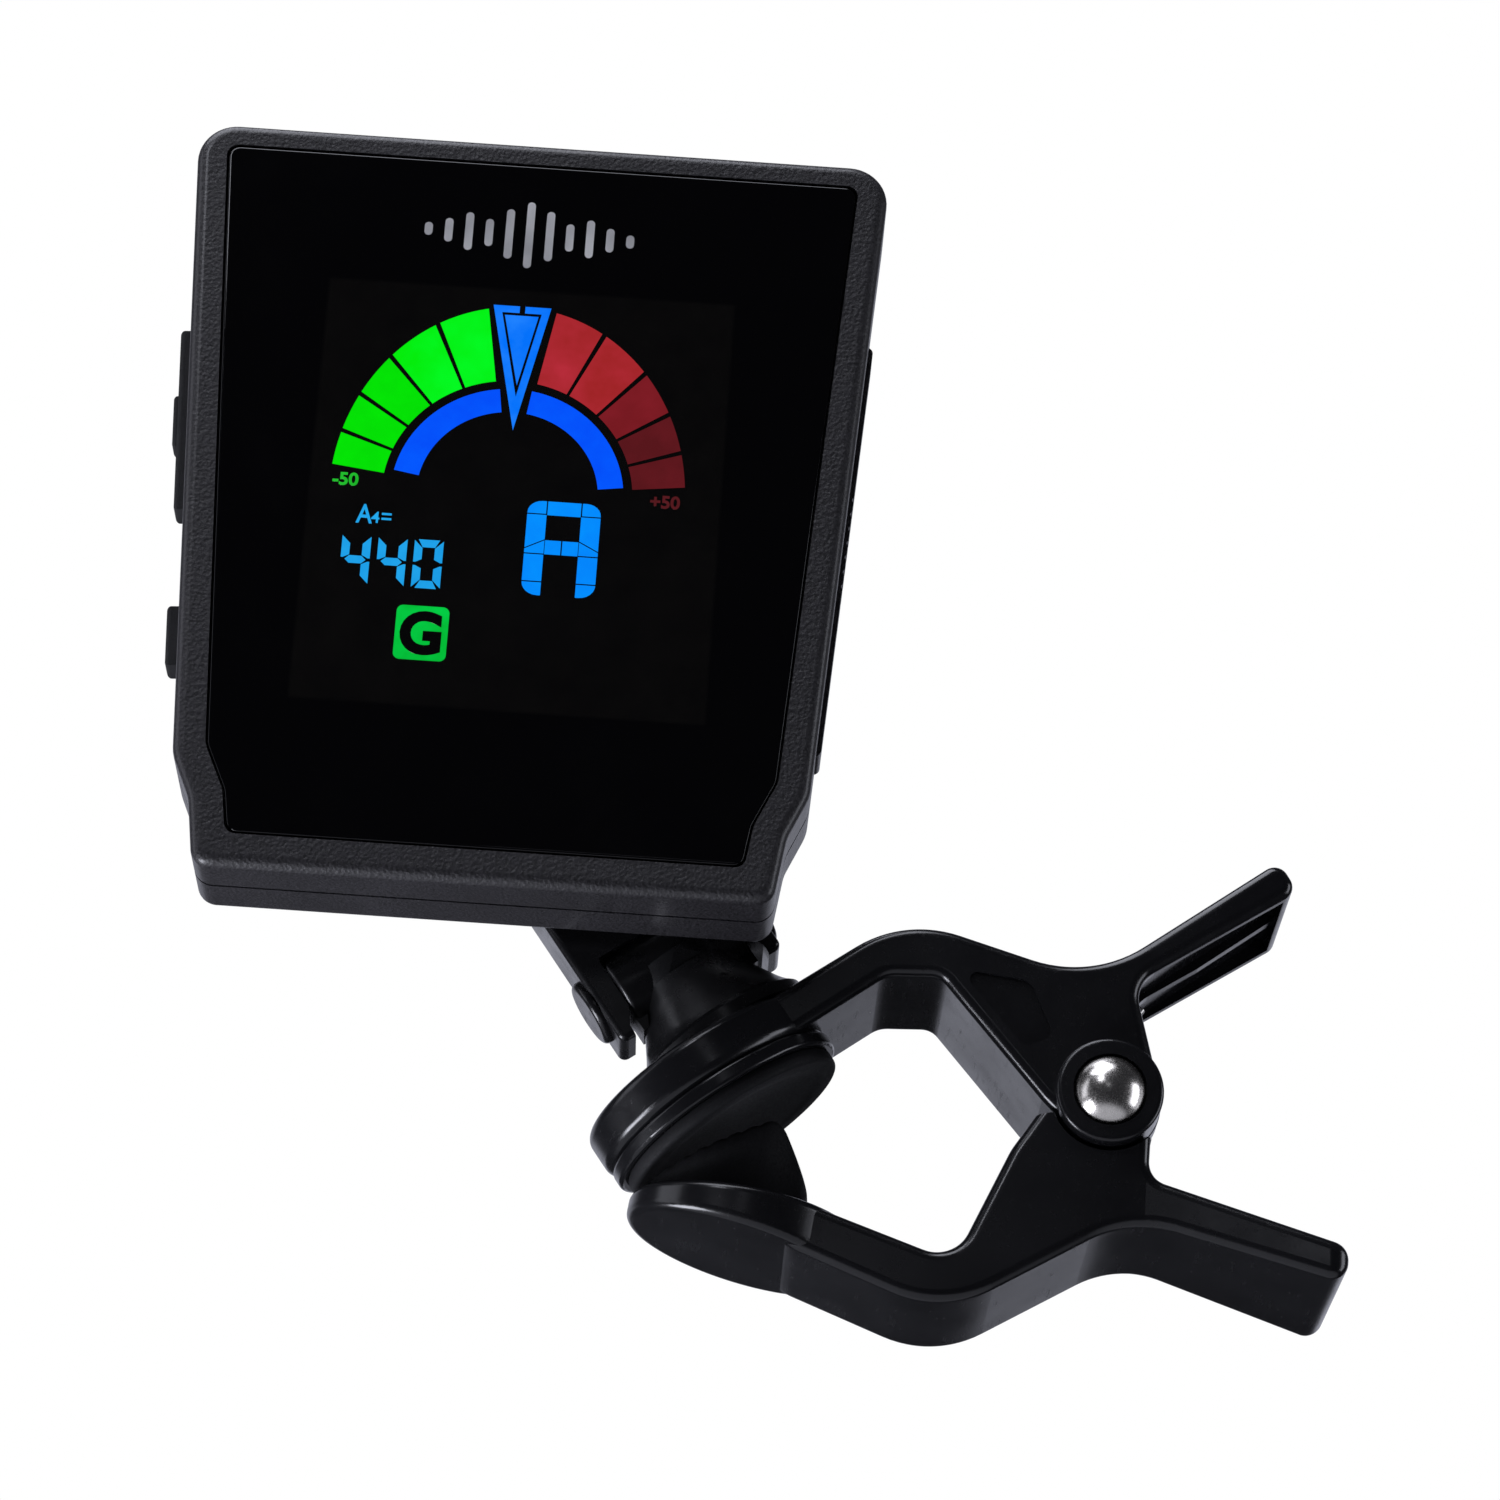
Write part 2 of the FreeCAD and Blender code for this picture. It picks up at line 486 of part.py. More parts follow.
def swivel_base():
    body = Part.Face(flange_profile()).revolve(V(0, 0, 0), V(0, 0, 1), 360)
    neck = rod_z(NECK_R, NECK_Z - 0.4, KNUCKLE_Z).common(rod_x(NECK_R, -9, 9, KNUCKLE_Z))
    barrel = rounded(rod_x(KNUCKLE_R, -KNUCKLE_HALF, KNUCKLE_HALF, KNUCKLE_Z), 0.3, circle)
    shoulders = box(-KNUCKLE_HALF, KNUCKLE_HALF, -SHOULDER_HALF_D, SHOULDER_HALF_D, SHOULDER_Z, KNUCKLE_Z)
    body = body.fuse(neck).fuse(barrel).fuse(shoulders)
    body = body.fuse(rod_z(SPIGOT_R, -SPIGOT_L - RUN, RUN + TINY))
    body = body.cut(rod_x(PIN_R + RUN, -9, 9, KNUCKLE_Z))
    body = body.cut(rod_z(SMALL_SCREW_R + SEAT, -3, SCREW_TIP + 0.2))
    return on_jaw(body)


def base_washer():
    top = -SPIGOT_L - RUN - SEAT
    return on_jaw(rod_z(BASE_WASHER_R, top - WASHER_T, top).cut(rod_z(SMALL_SCREW_R + SEAT, -4, 0)))


def cross_slot(z0, z1):
    """Cross slot of a screw whose axis is local z."""
    one = box(-SLOT_HALF_L, SLOT_HALF_L, -SLOT_HALF_W, SLOT_HALF_W, z0, z1)
    other = box(-SLOT_HALF_W, SLOT_HALF_W, -SLOT_HALF_L, SLOT_HALF_L, z0, z1)
    return one.fuse(other)


def base_screw():
    top = -SPIGOT_L - RUN - WASHER_T - 2 * SEAT
    head = rod_z(SMALL_HEAD_R, top - BASE_HEAD_T, top)
    head = rounded(head, 0.2, lambda e: circle(e) and e.BoundBox.ZMax < top - TINY)
    screw = head.fuse(rod_z(SMALL_SCREW_R, top - TINY, SCREW_TIP))
    return on_jaw(screw.cut(cross_slot(top - 1, top - SLOT_T)))


def fork_slot(top, corner):
    """Outline of the slot between the arm's two prongs, wider at its mouth."""
    right = [(FORK_IN, top, corner), (FORK_IN, FORK_BOTTOM + 2.2), (FORK_MOUTH, FORK_BOTTOM + 0.8),
             (FORK_MOUTH, FORK_BOTTOM - 1)]
    return [(-c[0],) + c[1:] for c in reversed(right)] + right


def yoke_blank():
    """The arm before its cuts: a flat bar with a round upper end."""
    side = [(-FORK_OUT, FORK_BOTTOM, YOKE_FOOT_R), (-FORK_OUT, SWIVEL_Z), (FORK_OUT, SWIVEL_Z),
            (FORK_OUT, FORK_BOTTOM, YOKE_FOOT_R)]
    body = slab(side, -FORK_HALF_D, FORK_HALF_D)
    body = body.fuse(rod_y(FORK_OUT, -FORK_HALF_D, FORK_HALF_D, 0, SWIVEL_Z)).removeSplitter()

    def face_edge(e):
        return e.BoundBox.YLength < 1e-4 and abs(abs(e.BoundBox.YMin) - FORK_HALF_D) < 1e-4

    return rounded(body, YOKE_EDGE, face_edge)


def arm_yoke():
    body = yoke_blank()
    body = body.cut(slab(fork_slot(FORK_TOP, 0.6), WEB_Y, FORK_HALF_D + 1))
    body = body.cut(slab(fork_slot(WEB_LOW, 0.3), -FORK_HALF_D - 1, FORK_HALF_D + 1))
    # weight relief on the back, with a rib left in the middle
    for x0, x1 in sides(RELIEF_X0, RELIEF_X1):
        c = RELIEF_CORNER
        window_corners = [(x0, RELIEF_Z0, c), (x0, RELIEF_Z1, c), (x1, RELIEF_Z1, c), (x1, RELIEF_Z0, c)]
        body = body.cut(slab(window_corners, RELIEF_Y, FORK_HALF_D + 1))
    boss = rod_y(ARM_BOSS_R, ARM_BOSS_Y, -FORK_HALF_D + TINY, 0, SWIVEL_Z)
    post = rod_y(POST_R, REAR - REAR_SKIN - RUN, ARM_BOSS_Y + TINY, 0, SWIVEL_Z)
    body = body.fuse(boss).fuse(post)
    body = body.cut(rod_y(SMALL_SCREW_R + SEAT, -8, POST_SCREW_TIP + 0.3, 0, SWIVEL_Z))
    body = body.cut(rod_x(PIN_R + SEAT, -9, 9, KNUCKLE_Z))
    return on_jaw(body)


def hinge_pin():
    reach = FORK_OUT + SEAT
    pin = rod_x(PIN_R, -reach - TINY, reach + PIN_REACH, KNUCKLE_Z)
    head = rod_x(PIN_HEAD_R, -reach - PIN_HEAD_T, -reach, KNUCKLE_Z)
    head = rounded(head, PIN_HEAD_EDGE, lambda e: circle(e) and e.BoundBox.XMin < -reach - TINY)
    return on_jaw(pin.fuse(head))


def hinge_pin_cap():
    reach = FORK_OUT + SEAT
    cap = rod_x(PIN_HEAD_R, reach, reach + PIN_HEAD_T, KNUCKLE_Z)
    cap = rounded(cap, PIN_HEAD_EDGE, lambda e: circle(e) and e.BoundBox.XMax > reach + TINY)
    return on_jaw(cap.cut(rod_x(PIN_R + SEAT, reach - 1, reach + PIN_REACH + SEAT, KNUCKLE_Z)))


def friction_washer():
    ring = rod_y(FRICTION_R, REAR + 0.03, ARM_BOSS_Y - SEAT, 0, SWIVEL_Z)
    return on_jaw(ring.cut(rod_y(POST_R + SEAT, -6, 0, 0, SWIVEL_Z)))


def post_washer():
    y1 = REAR - REAR_SKIN - RUN - SEAT
    ring = rod_y(POST_WASHER_R, y1 - WASHER_T, y1, 0, SWIVEL_Z)
    return on_jaw(ring.cut(rod_y(SMALL_SCREW_R + SEAT, -9, 0, 0, SWIVEL_Z)))


def post_screw():
    y1 = REAR - REAR_SKIN - RUN - WASHER_T - 2 * SEAT
    head = rod_y(SMALL_HEAD_R, y1 - POST_HEAD_T, y1, 0, SWIVEL_Z)
    screw = head.fuse(rod_y(SMALL_SCREW_R, y1 - TINY, POST_SCREW_TIP, 0, SWIVEL_Z))
    slot = cross_slot(0, 2)
    slot.rotate(V(0, 0, 0), V(1, 0, 0), 90)
    slot.translate(V(0, y1 - POST_HEAD_T + SLOT_T, SWIVEL_Z))
    return on_jaw(screw.cut(slot))


# ======================= head =======================

def mirrored(right):
    """Closes an outline given by its right half, from the top down."""
    return right + [(-c[0],) + c[1:] for c in reversed(right)]


def head_outline(inset):
    """The head's outline, notched at its lower sides."""
    return mirrored([(TOP_HALF - inset, HEAD_TOP - inset, max(0.6, TOP_CORNER_R - inset)),
                     (NOTCH_HALF - inset, NOTCH_TOP, NOTCH_R),
                     (FOOT_HALF + NOTCH_STEP - inset, NOTCH_LOW, NOTCH_R),
                     (FOOT_HALF - inset, HEAD_LOW + inset, max(0.4, FOOT_CORNER_R - inset))])


def lens_outline(inset):
    return mirrored([(LENS_TOP_HALF - inset, LENS_TOP - inset, 0.9),
                     (LENS_NOTCH_HALF - inset, LENS_NOTCH_TOP, 2.0),
                     (LENS_FOOT_HALF + LENS_NOTCH_STEP - inset, LENS_NOTCH_LOW, 2.0),
                     (LENS_FOOT_HALF - inset, LENS_LOW + inset, 0.9)])


def head_side(z):
    """Half-width of the head at a height above the notch."""
    share = (z - NOTCH_TOP) / (HEAD_TOP - NOTCH_TOP)
    return NOTCH_HALF + share * (TOP_HALF - NOTCH_HALF)


def edge_at(y):
    """Picks the edges that lie in the plane at y."""
    return lambda e: e.BoundBox.YLength < 1e-4 and abs(e.BoundBox.YMin - y) < 1e-4


def screw_bosses(y0, y1, r):
    return [rod_y(r, y0, y1, x, z) for x, z in SCREW_SPOTS]


def front_bezel():
    back = PART_Y - SEAT
    outer = rounded(slab(head_outline(0), FRONT, back), FRONT_EDGE, edge_at(FRONT))
    ledge = LENS_FRONT + LENS_T + GASKET_T
    body = outer.cut(slab(head_outline(WALL), ledge + LEDGE_T, PART_Y + 1))
    body = body.cut(slab(lens_outline(-LENS_GAP), FRONT - 1, ledge))
    body = body.cut(slab(window(0.8), FRONT - 1, ledge + 3))
    for boss in screw_bosses(ledge + LEDGE_T - TINY, back, SCREW_BOSS_R):
        body = body.fuse(boss.common(outer))
    for hole in screw_bosses(SCREW_END - SEAT, PART_Y + 1, SCREW_R + SEAT):
        body = body.cut(hole)
    return on_head(body)


def window(margin):
    """Opening round the display panel."""
    x = LCD_W / 2 + margin
    z0, z1 = LCD_Z - LCD_H / 2 - margin, LCD_Z + LCD_H / 2 + margin
    return [(-x, z0, 1.0), (-x, z1, 1.0), (x, z1, 1.0), (x, z0, 1.0)]


def key_hole(z, length):
    """Opening for a button in the rear cover's left wall."""
    grow = KEY_GAP
    return box(-40, -20, KEY_Y0 - grow, KEY_Y1 + grow, z - length / 2 - grow, z + length / 2 + grow)


def rear_shell():
    """The rear cover without its openings for the drawer and the buttons."""
    inside = REAR - REAR_SKIN
    outer = rounded(slab(head_outline(0), PART_Y + SEAM_W, REAR), REAR_EDGE, edge_at(REAR))
    outer = outer.fuse(slab(head_outline(SEAM_DEPTH), PART_Y, PART_Y + SEAM_W))
    body = outer.cut(slab(head_outline(WALL), PART_Y - 1, inside))
    for boss in screw_bosses(PART_Y, inside + TINY, SCREW_BOSS_R):
        body = body.fuse(boss.common(outer))
    for hole in screw_bosses(PART_Y - 1, REAR + 1, SCREW_R + SEAT + TINY):
        body = body.cut(hole)
    for sink in screw_bosses(REAR - SCREW_HEAD_T - SCREW_SUNK, REAR + 1, SCREW_HEAD_R + TINY):
        body = body.cut(sink)
    return body


def rear_cover():
    body = rear_shell()
    inside = REAR - REAR_SKIN
    bay = CELL_R + RAIL_GAP
    # guide rails of the drawer
    for z0, z1 in sides(bay, bay + RAIL_T):
        body = body.fuse(box(RAIL_X0, RAIL_X1, PART_Y + 0.3, inside + TINY, CELL_Z + z0, CELL_Z + z1))
    bay -= TINY
    opening = box(BAY_X0, BAY_X1, DRAWER_Y0 - TINY, inside - 0.001, CELL_Z - bay, CELL_Z + bay)
    body = body.cut(drawer_front(STRIP_GAP, 4.0).fuse(opening))
    body = body.cut(key_hole(ROCKER_Z, ROCKER_LEN)).cut(key_hole(POWER_Z, POWER_LEN))
    body = body.cut(rod_y(POST_R + RUN, REAR - 3, REAR + 1))
    return on_head(body)


def drawer_front(grow, reach):
    """The drawer's front strip, which follows the head's sloping side."""
    z0, z1 = DRAWER_LOW - grow, DRAWER_HIGH + grow
    x_in, x_out = -STRIP_T - grow, DRAWER_PROUD + reach
    corners = [(head_side(z0) + x_in, z0, 0.5), (head_side(z0) + x_out, z0, 0.5),
               (head_side(z1) + x_out, z1, 0.5), (head_side(z1) + x_in, z1, 0.5)]
    return slab(corners, DRAWER_Y0 - grow, DRAWER_Y1 + grow)


def drawer_tray():
    """Open tray that holds the cell, with a slotted floor behind it."""
    r_out = CELL_R + TRAY_RIM
    back = REAR - REAR_SKIN - TRAY_PLAY
    front = back - CELL_T - TRAY_FLOOR - RUN
    floor = back - TRAY_FLOOR
    slot = LEAF_HALF + 0.4
    tray = rod_y(r_out, front, back, CELL_X, CELL_Z)
    tray = tray.fuse(box(CELL_X, head_side(CELL_Z) - 1, front, back, CELL_Z - r_out, CELL_Z + r_out))
    low, high = -30.0, 60.0
    limit = slab([(-10, low), (-10, high), (head_side(high) - 1, high), (head_side(low) - 1, low)], -20, 0)
    tray = tray.common(limit)
    tray = tray.cut(rod_y(CELL_R + TRAY_PLAY, -20, floor, CELL_X, CELL_Z))
    tray = tray.cut(rod_y(THUMB_R, -20, 0, CELL_X, CELL_Z))
    tray = tray.cut(box(-10, CELL_X, floor, 0, CELL_Z - slot, CELL_Z + slot))
    return tray.cut(box(TRAY_SLOT_X, TRAY_SLOT_X + TRAY_SLOT_T, -20, floor,
                        CELL_Z - TRAY_SLOT_HALF, CELL_Z + TRAY_SLOT_HALF))


def battery_drawer():
    body = drawer_front(0, 0).fuse(drawer_tray())
    for i in range(GROOVES):
        z = GROOVE_Z0 + i * GROOVE_PITCH
        x = head_side(z) + DRAWER_PROUD + TINY
        body = body.cut(rod_y(GROOVE_R, DRAWER_Y0 - 1, DRAWER_Y1 + 1, x, z))
    return on_head(body)


def coin_cell():
    back = REAR - REAR_SKIN - TRAY_PLAY - TRAY_FLOOR - SEAT
    front = back - CELL_T
    can = rounded(rod_y(CELL_R, front + CELL_CAP_T, back, CELL_X, CELL_Z), 0.25, circle)
    cap = rod_y(CELL_R - CELL_CAP_INSET, front, front + CELL_CAP_T + TINY, CELL_X, CELL_Z)
    return on_head(can.fuse(cap))


def key(z, length, proud, nub_len, nub_proud):
    """A button: a proud cap in its opening and a wider flange behind the wall."""
    half = length / 2
    lean = math.degrees(math.atan((TOP_HALF - NOTCH_HALF) / (HEAD_TOP - NOTCH_TOP)))
    wall = WALL + KEY_PLAY
    cap = box(-proud, wall + KEY_FLANGE, KEY_Y0, KEY_Y1, -half, half)
    cap = rounded(cap, KEY_EDGE, lambda e: e.BoundBox.XMax < -proud + 1e-3)
    flange = box(wall, wall + KEY_FLANGE, KEY_Y0 - KEY_LIP_Y, KEY_Y1 + KEY_LIP_Y,
                 -half - KEY_LIP_Z, half + KEY_LIP_Z)
    body = cap.fuse(flange)
    if nub_len:
        top = -proud - nub_proud
        nub = box(top, 0, KEY_Y0 + NUB_INSET, KEY_Y1 - NUB_INSET, -nub_len / 2, nub_len / 2)
        body = body.fuse(rounded(nub, NUB_EDGE, lambda e: e.BoundBox.XMax < top + 1e-3))
    body.rotate(V(0, 0, 0), V(0, 1, 0), -lean)
    body.translate(V(-head_side(z), 0, z))
    return on_head(body)


def rocker_button():
    return key(ROCKER_Z, ROCKER_LEN, ROCKER_PROUD, NUB_LEN, NUB_PROUD)


def power_button():
    return key(POWER_Z, POWER_LEN, POWER_PROUD, 0, 0)


def display_lens():
    lens = slab(lens_outline(0), LENS_FRONT, LENS_FRONT + LENS_T)
    return on_head(rounded(lens, LENS_EDGE, edge_at(LENS_FRONT)))


def lens_gasket():
    y0 = LENS_FRONT + LENS_T + SEAT
    ring = slab(lens_outline(0.3), y0, y0 + GASKET_T - 2 * SEAT)
    return on_head(ring.cut(slab(window(0.3), y0 - 1, y0 + 1)))


def plate(w, h, zc, y0, y1):
    return box(-w / 2, w / 2, y0, y1, zc - h / 2, zc + h / 2)


LCD_FRONT = LENS_FRONT + LENS_T + GASKET_T + RUN
LCD_BACK = LCD_FRONT + LCD_T
BACK_OF_BOARD = BOARD_FRONT + BOARD_T


def lcd_panel():
    return on_head(plate(LCD_W, LCD_H, LCD_Z, LCD_FRONT, LCD_BACK))


def backlight():
    z = LCD_Z + LIGHT_INSET
    return on_head(plate(LCD_W - LIGHT_INSET, LCD_H - 3 * LIGHT_INSET, z, LCD_BACK + RUN, BOARD_FRONT - RUN))


def zebra_strip():
    z = LCD_Z - LCD_H / 2 + ZEBRA_H / 2 + 0.2
    return on_head(plate(ZEBRA_L, ZEBRA_H, z, LCD_BACK + SEAT, BOARD_FRONT - SEAT))


def circuit_board():
    board = slab(head_outline(WALL + 0.5), BOARD_FRONT, BACK_OF_BOARD - SEAT)
    for boss in screw_bosses(-20, 0, SCREW_BOSS_R + 0.15):
        board = board.cut(boss)
    return on_head(board)


def on_board(x0, x1, z0, z1, height):
    return box(x0, x1, BACK_OF_BOARD, BACK_OF_BOARD + height, z0, z1)


def main_chip():
    return on_head(on_board(*MAIN_CHIP))


def driver_chip():
    return on_head(on_board(*DRIVER_CHIP))


def crystal():
    return on_head(rounded(on_board(*CRYSTAL), CRYSTAL_EDGE, lambda e: e.BoundBox.YLength > 1.5))


def tact_switches():
    """Side-acting switches under the rocker's two ends and the power button."""
    switches = []
    for z in (ROCKER_Z + SWITCH_SPREAD, ROCKER_Z - SWITCH_SPREAD, POWER_Z):
        x = -head_side(z) + WALL + KEY_PLAY + KEY_FLANGE
        body = on_board(x + SWITCH_X, x + SWITCH_X + SWITCH_L, z - SWITCH_HALF, z + SWITCH_HALF, SWITCH_H)
        plunger = box(x + PLUNGER_X, x + PLUNGER_X + PLUNGER_L, BACK_OF_BOARD + PLUNGER_H0,
                      BACK_OF_BOARD + PLUNGER_H1, z - PLUNGER_HALF, z + PLUNGER_HALF)
        switches.append(body.fuse(plunger))
    return on_head(Part.makeCompound(switches))


def cell_contact_minus():
    y1 = REAR - REAR_SKIN - TRAY_PLAY - TRAY_FLOOR - CELL_T - 4 * SEAT
    strip = box(CELL_X + CONTACT_MINUS_X0, CELL_X + CONTACT_MINUS_X1, BACK_OF_BOARD, y1,
                CELL_Z - LEAF_HALF, CELL_Z + LEAF_HALF)
    return on_head(strip)


def cell_contact_plus():
    """Leaf on the rear cover, bearing on the cell through the tray's slotted floor."""
    y1 = REAR - REAR_SKIN - SEAT
    leaf = box(CONTACT_PLUS_X0, CELL_X + 1.0, y1 - CONTACT_PLUS_T, y1, CELL_Z - LEAF_HALF, CELL_Z + LEAF_HALF)
    bump = rod_y(CONTACT_BUMP_R, y1 - CONTACT_BUMP, y1 - TINY, CELL_X, CELL_Z)
    return on_head(leaf.fuse(bump))


def piezo_sensor():
    y1 = REAR - REAR_SKIN - SEAT
    disc = rod_y(PIEZO_R, y1 - PIEZO_T, y1, PIEZO_X, PIEZO_Z)
    return on_head(disc.fuse(rod_y(PIEZO_TOP_R, y1 - 2 * PIEZO_T, y1 - PIEZO_T / 2, PIEZO_X, PIEZO_Z)))


def housing_screws():
    screws = []
    y_head = REAR - SCREW_SUNK
    slot = cross_slot(0, 2)
    slot.rotate(V(0, 0, 0), V(1, 0, 0), -90)
    for x, z in SCREW_SPOTS:
        head = rod_y(SCREW_HEAD_R, y_head - SCREW_HEAD_T + SEAT, y_head, x, z)
        shank = rod_y(SCREW_R, SCREW_END, y_head - 0.3, x, z)
        here = slot.copy()
        here.translate(V(x, y_head - SLOT_T, z))
        screws.append(head.fuse(shank).cut(here))
    return on_head(Part.makeCompound(screws))


# ======================= every node =======================

NODES = (upper_jaw, upper_pad_holder, upper_pad, lower_jaw, lower_pad, pivot_rivet, rivet_cap,
         torsion_spring, swivel_base, base_washer, base_screw, arm_yoke, hinge_pin, hinge_pin_cap,
         friction_washer, post_washer, post_screw, front_bezel, rear_cover, display_lens, lens_gasket,
         lcd_panel, backlight, zebra_strip, circuit_board, main_chip, driver_chip, crystal, tact_switches,
         cell_contact_minus, cell_contact_plus, piezo_sensor, battery_drawer, coin_cell, rocker_button,
         power_button, housing_screws)

os.makedirs("parts", exist_ok=True)
for node in NODES:
    save(node.__name__, node())
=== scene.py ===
import json
import math

import bmesh
import bpy
from mathutils import Matrix, Vector


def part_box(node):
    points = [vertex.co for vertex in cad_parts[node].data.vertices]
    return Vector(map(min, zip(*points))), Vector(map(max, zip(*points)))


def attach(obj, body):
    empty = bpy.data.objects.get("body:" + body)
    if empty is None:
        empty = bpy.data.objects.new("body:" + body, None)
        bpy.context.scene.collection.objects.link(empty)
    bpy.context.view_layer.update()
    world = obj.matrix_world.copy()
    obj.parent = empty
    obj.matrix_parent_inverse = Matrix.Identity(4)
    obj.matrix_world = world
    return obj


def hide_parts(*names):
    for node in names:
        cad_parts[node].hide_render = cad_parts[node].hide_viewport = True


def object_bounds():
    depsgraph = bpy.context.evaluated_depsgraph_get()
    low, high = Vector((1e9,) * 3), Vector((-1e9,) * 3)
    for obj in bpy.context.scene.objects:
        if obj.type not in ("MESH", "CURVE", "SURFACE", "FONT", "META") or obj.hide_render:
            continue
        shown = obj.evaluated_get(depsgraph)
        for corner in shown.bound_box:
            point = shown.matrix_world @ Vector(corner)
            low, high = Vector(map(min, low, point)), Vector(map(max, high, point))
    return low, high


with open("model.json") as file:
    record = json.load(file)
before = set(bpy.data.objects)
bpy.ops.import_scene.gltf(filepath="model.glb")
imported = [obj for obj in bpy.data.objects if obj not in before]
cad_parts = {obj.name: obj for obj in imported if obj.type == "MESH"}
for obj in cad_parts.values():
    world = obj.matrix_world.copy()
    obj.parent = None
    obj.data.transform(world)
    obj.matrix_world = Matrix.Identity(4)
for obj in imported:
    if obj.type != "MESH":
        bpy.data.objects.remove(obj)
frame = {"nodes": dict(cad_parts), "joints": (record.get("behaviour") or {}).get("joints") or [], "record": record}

# Clip-on instrument tuner. Everything is in metres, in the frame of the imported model:
# +Z is the display's up, -Y is the way the display faces, +X points to the clip's handles.

MM = 0.001
cad_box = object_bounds()
joints = {j["name"]: j for j in frame["joints"]}
slot_of = {row["node"]: row["material_slot"] for row in frame["record"]["subparts"]}


# ======================= camera, light and floor =======================

CAMERA_PLACE = Vector((-0.0002, -0.3921, -0.1177))
CAMERA_RISE = math.radians(21.0)        # the camera looks up at the object
CAMERA_ROLL = math.radians(3.9)
CAMERA_LENS = 131.04                    # on a sensor 36 mm wide
FLOOR_DROP = 0.25                       # floor below the object's lowest point
FLOOR_SIZE = 0.8
FLOOR_SOLID, FLOOR_EDGE = 0.22, 0.34    # the floor fades out between these distances
WALL_EDGE, WALL_CORE = 0.60, 0.90       # how far round from straight behind the white wall reaches
WALL_LOW, WALL_FOOT = 0.02, -0.12       # the wall ends here, just under eye level
WALL_BRIGHT, ROOM_DIM = 0.75, 0.022
ROOM_TINT = (0.84, 0.86, 1.0, 1.0)
LAMP_TINT = (0.88, 0.90, 1.0)


def make_camera():
    data = bpy.data.cameras.new("camera")
    data.sensor_width = 36.0
    data.lens = CAMERA_LENS
    data.clip_start = 0.01
    data.clip_end = 20.0
    camera = bpy.data.objects.new("camera", data)
    bpy.context.scene.collection.objects.link(camera)
    turn = Matrix.Rotation(math.pi / 2 + CAMERA_RISE, 4, "X") @ Matrix.Rotation(CAMERA_ROLL, 4, "Z")
    camera.matrix_world = Matrix.Translation(CAMERA_PLACE) @ turn
    bpy.context.scene.camera = camera


def add_light(name, place, power, size, size_y=None, aim=(0.0, 0.0, 0.03)):
    data = bpy.data.lights.new(name, "AREA")
    data.shape = "RECTANGLE"
    data.size = size
    data.size_y = size_y or size
    data.energy = power
    data.color = LAMP_TINT
    lamp = bpy.data.objects.new(name, data)
    bpy.context.scene.collection.objects.link(lamp)
    lamp.location = place
    lamp.rotation_mode = "QUATERNION"
    lamp.rotation_quaternion = (Vector(aim) - Vector(place)).to_track_quat("-Z", "Y")


def make_world():
    """White for the camera. What lights the object is a white wall far behind it and dark grey elsewhere."""
    world = bpy.data.worlds.new("studio")
    world.use_nodes = True
    bpy.context.scene.world = world
    tree = world.node_tree
    coords = new_node(tree, "ShaderNodeTexCoord")
    split = new_node(tree, "ShaderNodeSeparateXYZ")
    link(tree, coords.outputs["Generated"], split.inputs["Vector"])
    wall = spread(tree, split.outputs["Y"], ROOM_DIM, WALL_BRIGHT, WALL_EDGE, WALL_CORE, "SMOOTHSTEP")
    foot = spread(tree, split.outputs["Z"], ROOM_DIM, 1.0, WALL_FOOT, WALL_LOW, "SMOOTHSTEP")
    glow = tree.nodes["Background"]
    glow.inputs["Color"].default_value = ROOM_TINT
    link(tree, maths(tree, "MINIMUM", wall, foot), glow.inputs["Strength"])
    seen = new_node(tree, "ShaderNodeBackground", Color=(1.0, 1.0, 1.0, 1.0), Strength=1.0)
    path = new_node(tree, "ShaderNodeLightPath")
    mix = new_node(tree, "ShaderNodeMixShader")
    link(tree, path.outputs["Is Camera Ray"], mix.inputs["Fac"])
    link(tree, glow.outputs["Background"], mix.inputs[1])
    link(tree, seen.outputs["Background"], mix.inputs[2])
    link(tree, mix.outputs["Shader"], tree.nodes["World Output"].inputs["Surface"])


def make_studio():
    make_camera()
    make_world()
    bpy.context.scene.view_settings.view_transform = "Standard"
    add_light("light_above", (-0.16, -0.12, 0.50), 2.3, 0.40)
    add_light("light_left", (-0.60, -0.08, 0.12), 0.6, 0.30, 0.5)
    add_light("light_right", (0.60, -0.10, 0.02), 1.2, 0.25, 0.5)
    add_light("light_low", (-0.13, -0.02, -0.11), 0.30, 0.10, 0.06, (-0.045, 0.0, 0.01))
    add_light("light_front", (-0.24, -0.46, 0.34), 0.32, 0.10)
    add_light("light_handle", (-0.012, -0.39, 0.10), 0.006, 0.05, 0.04, (0.02, 0.0, -0.01))


# ======================= material helpers =======================

def link(tree, source, target):
    tree.links.new(source, target)


def new_node(tree, kind, **values):
    made = tree.nodes.new(kind)
    for key, value in values.items():
        if hasattr(made, key):
            setattr(made, key, value)
        else:
            made.inputs[key.replace("_", " ")].default_value = value
    return made


def place_of(tree, stretch=(1.0, 1.0, 1.0)):
    """Object coordinates, stretched so that a pattern runs along one way."""
    coords = new_node(tree, "ShaderNodeTexCoord")
    mapping = new_node(tree, "ShaderNodeMapping")
    mapping.inputs["Scale"].default_value = stretch
    link(tree, coords.outputs["Object"], mapping.inputs["Vector"])
    return mapping.outputs["Vector"]


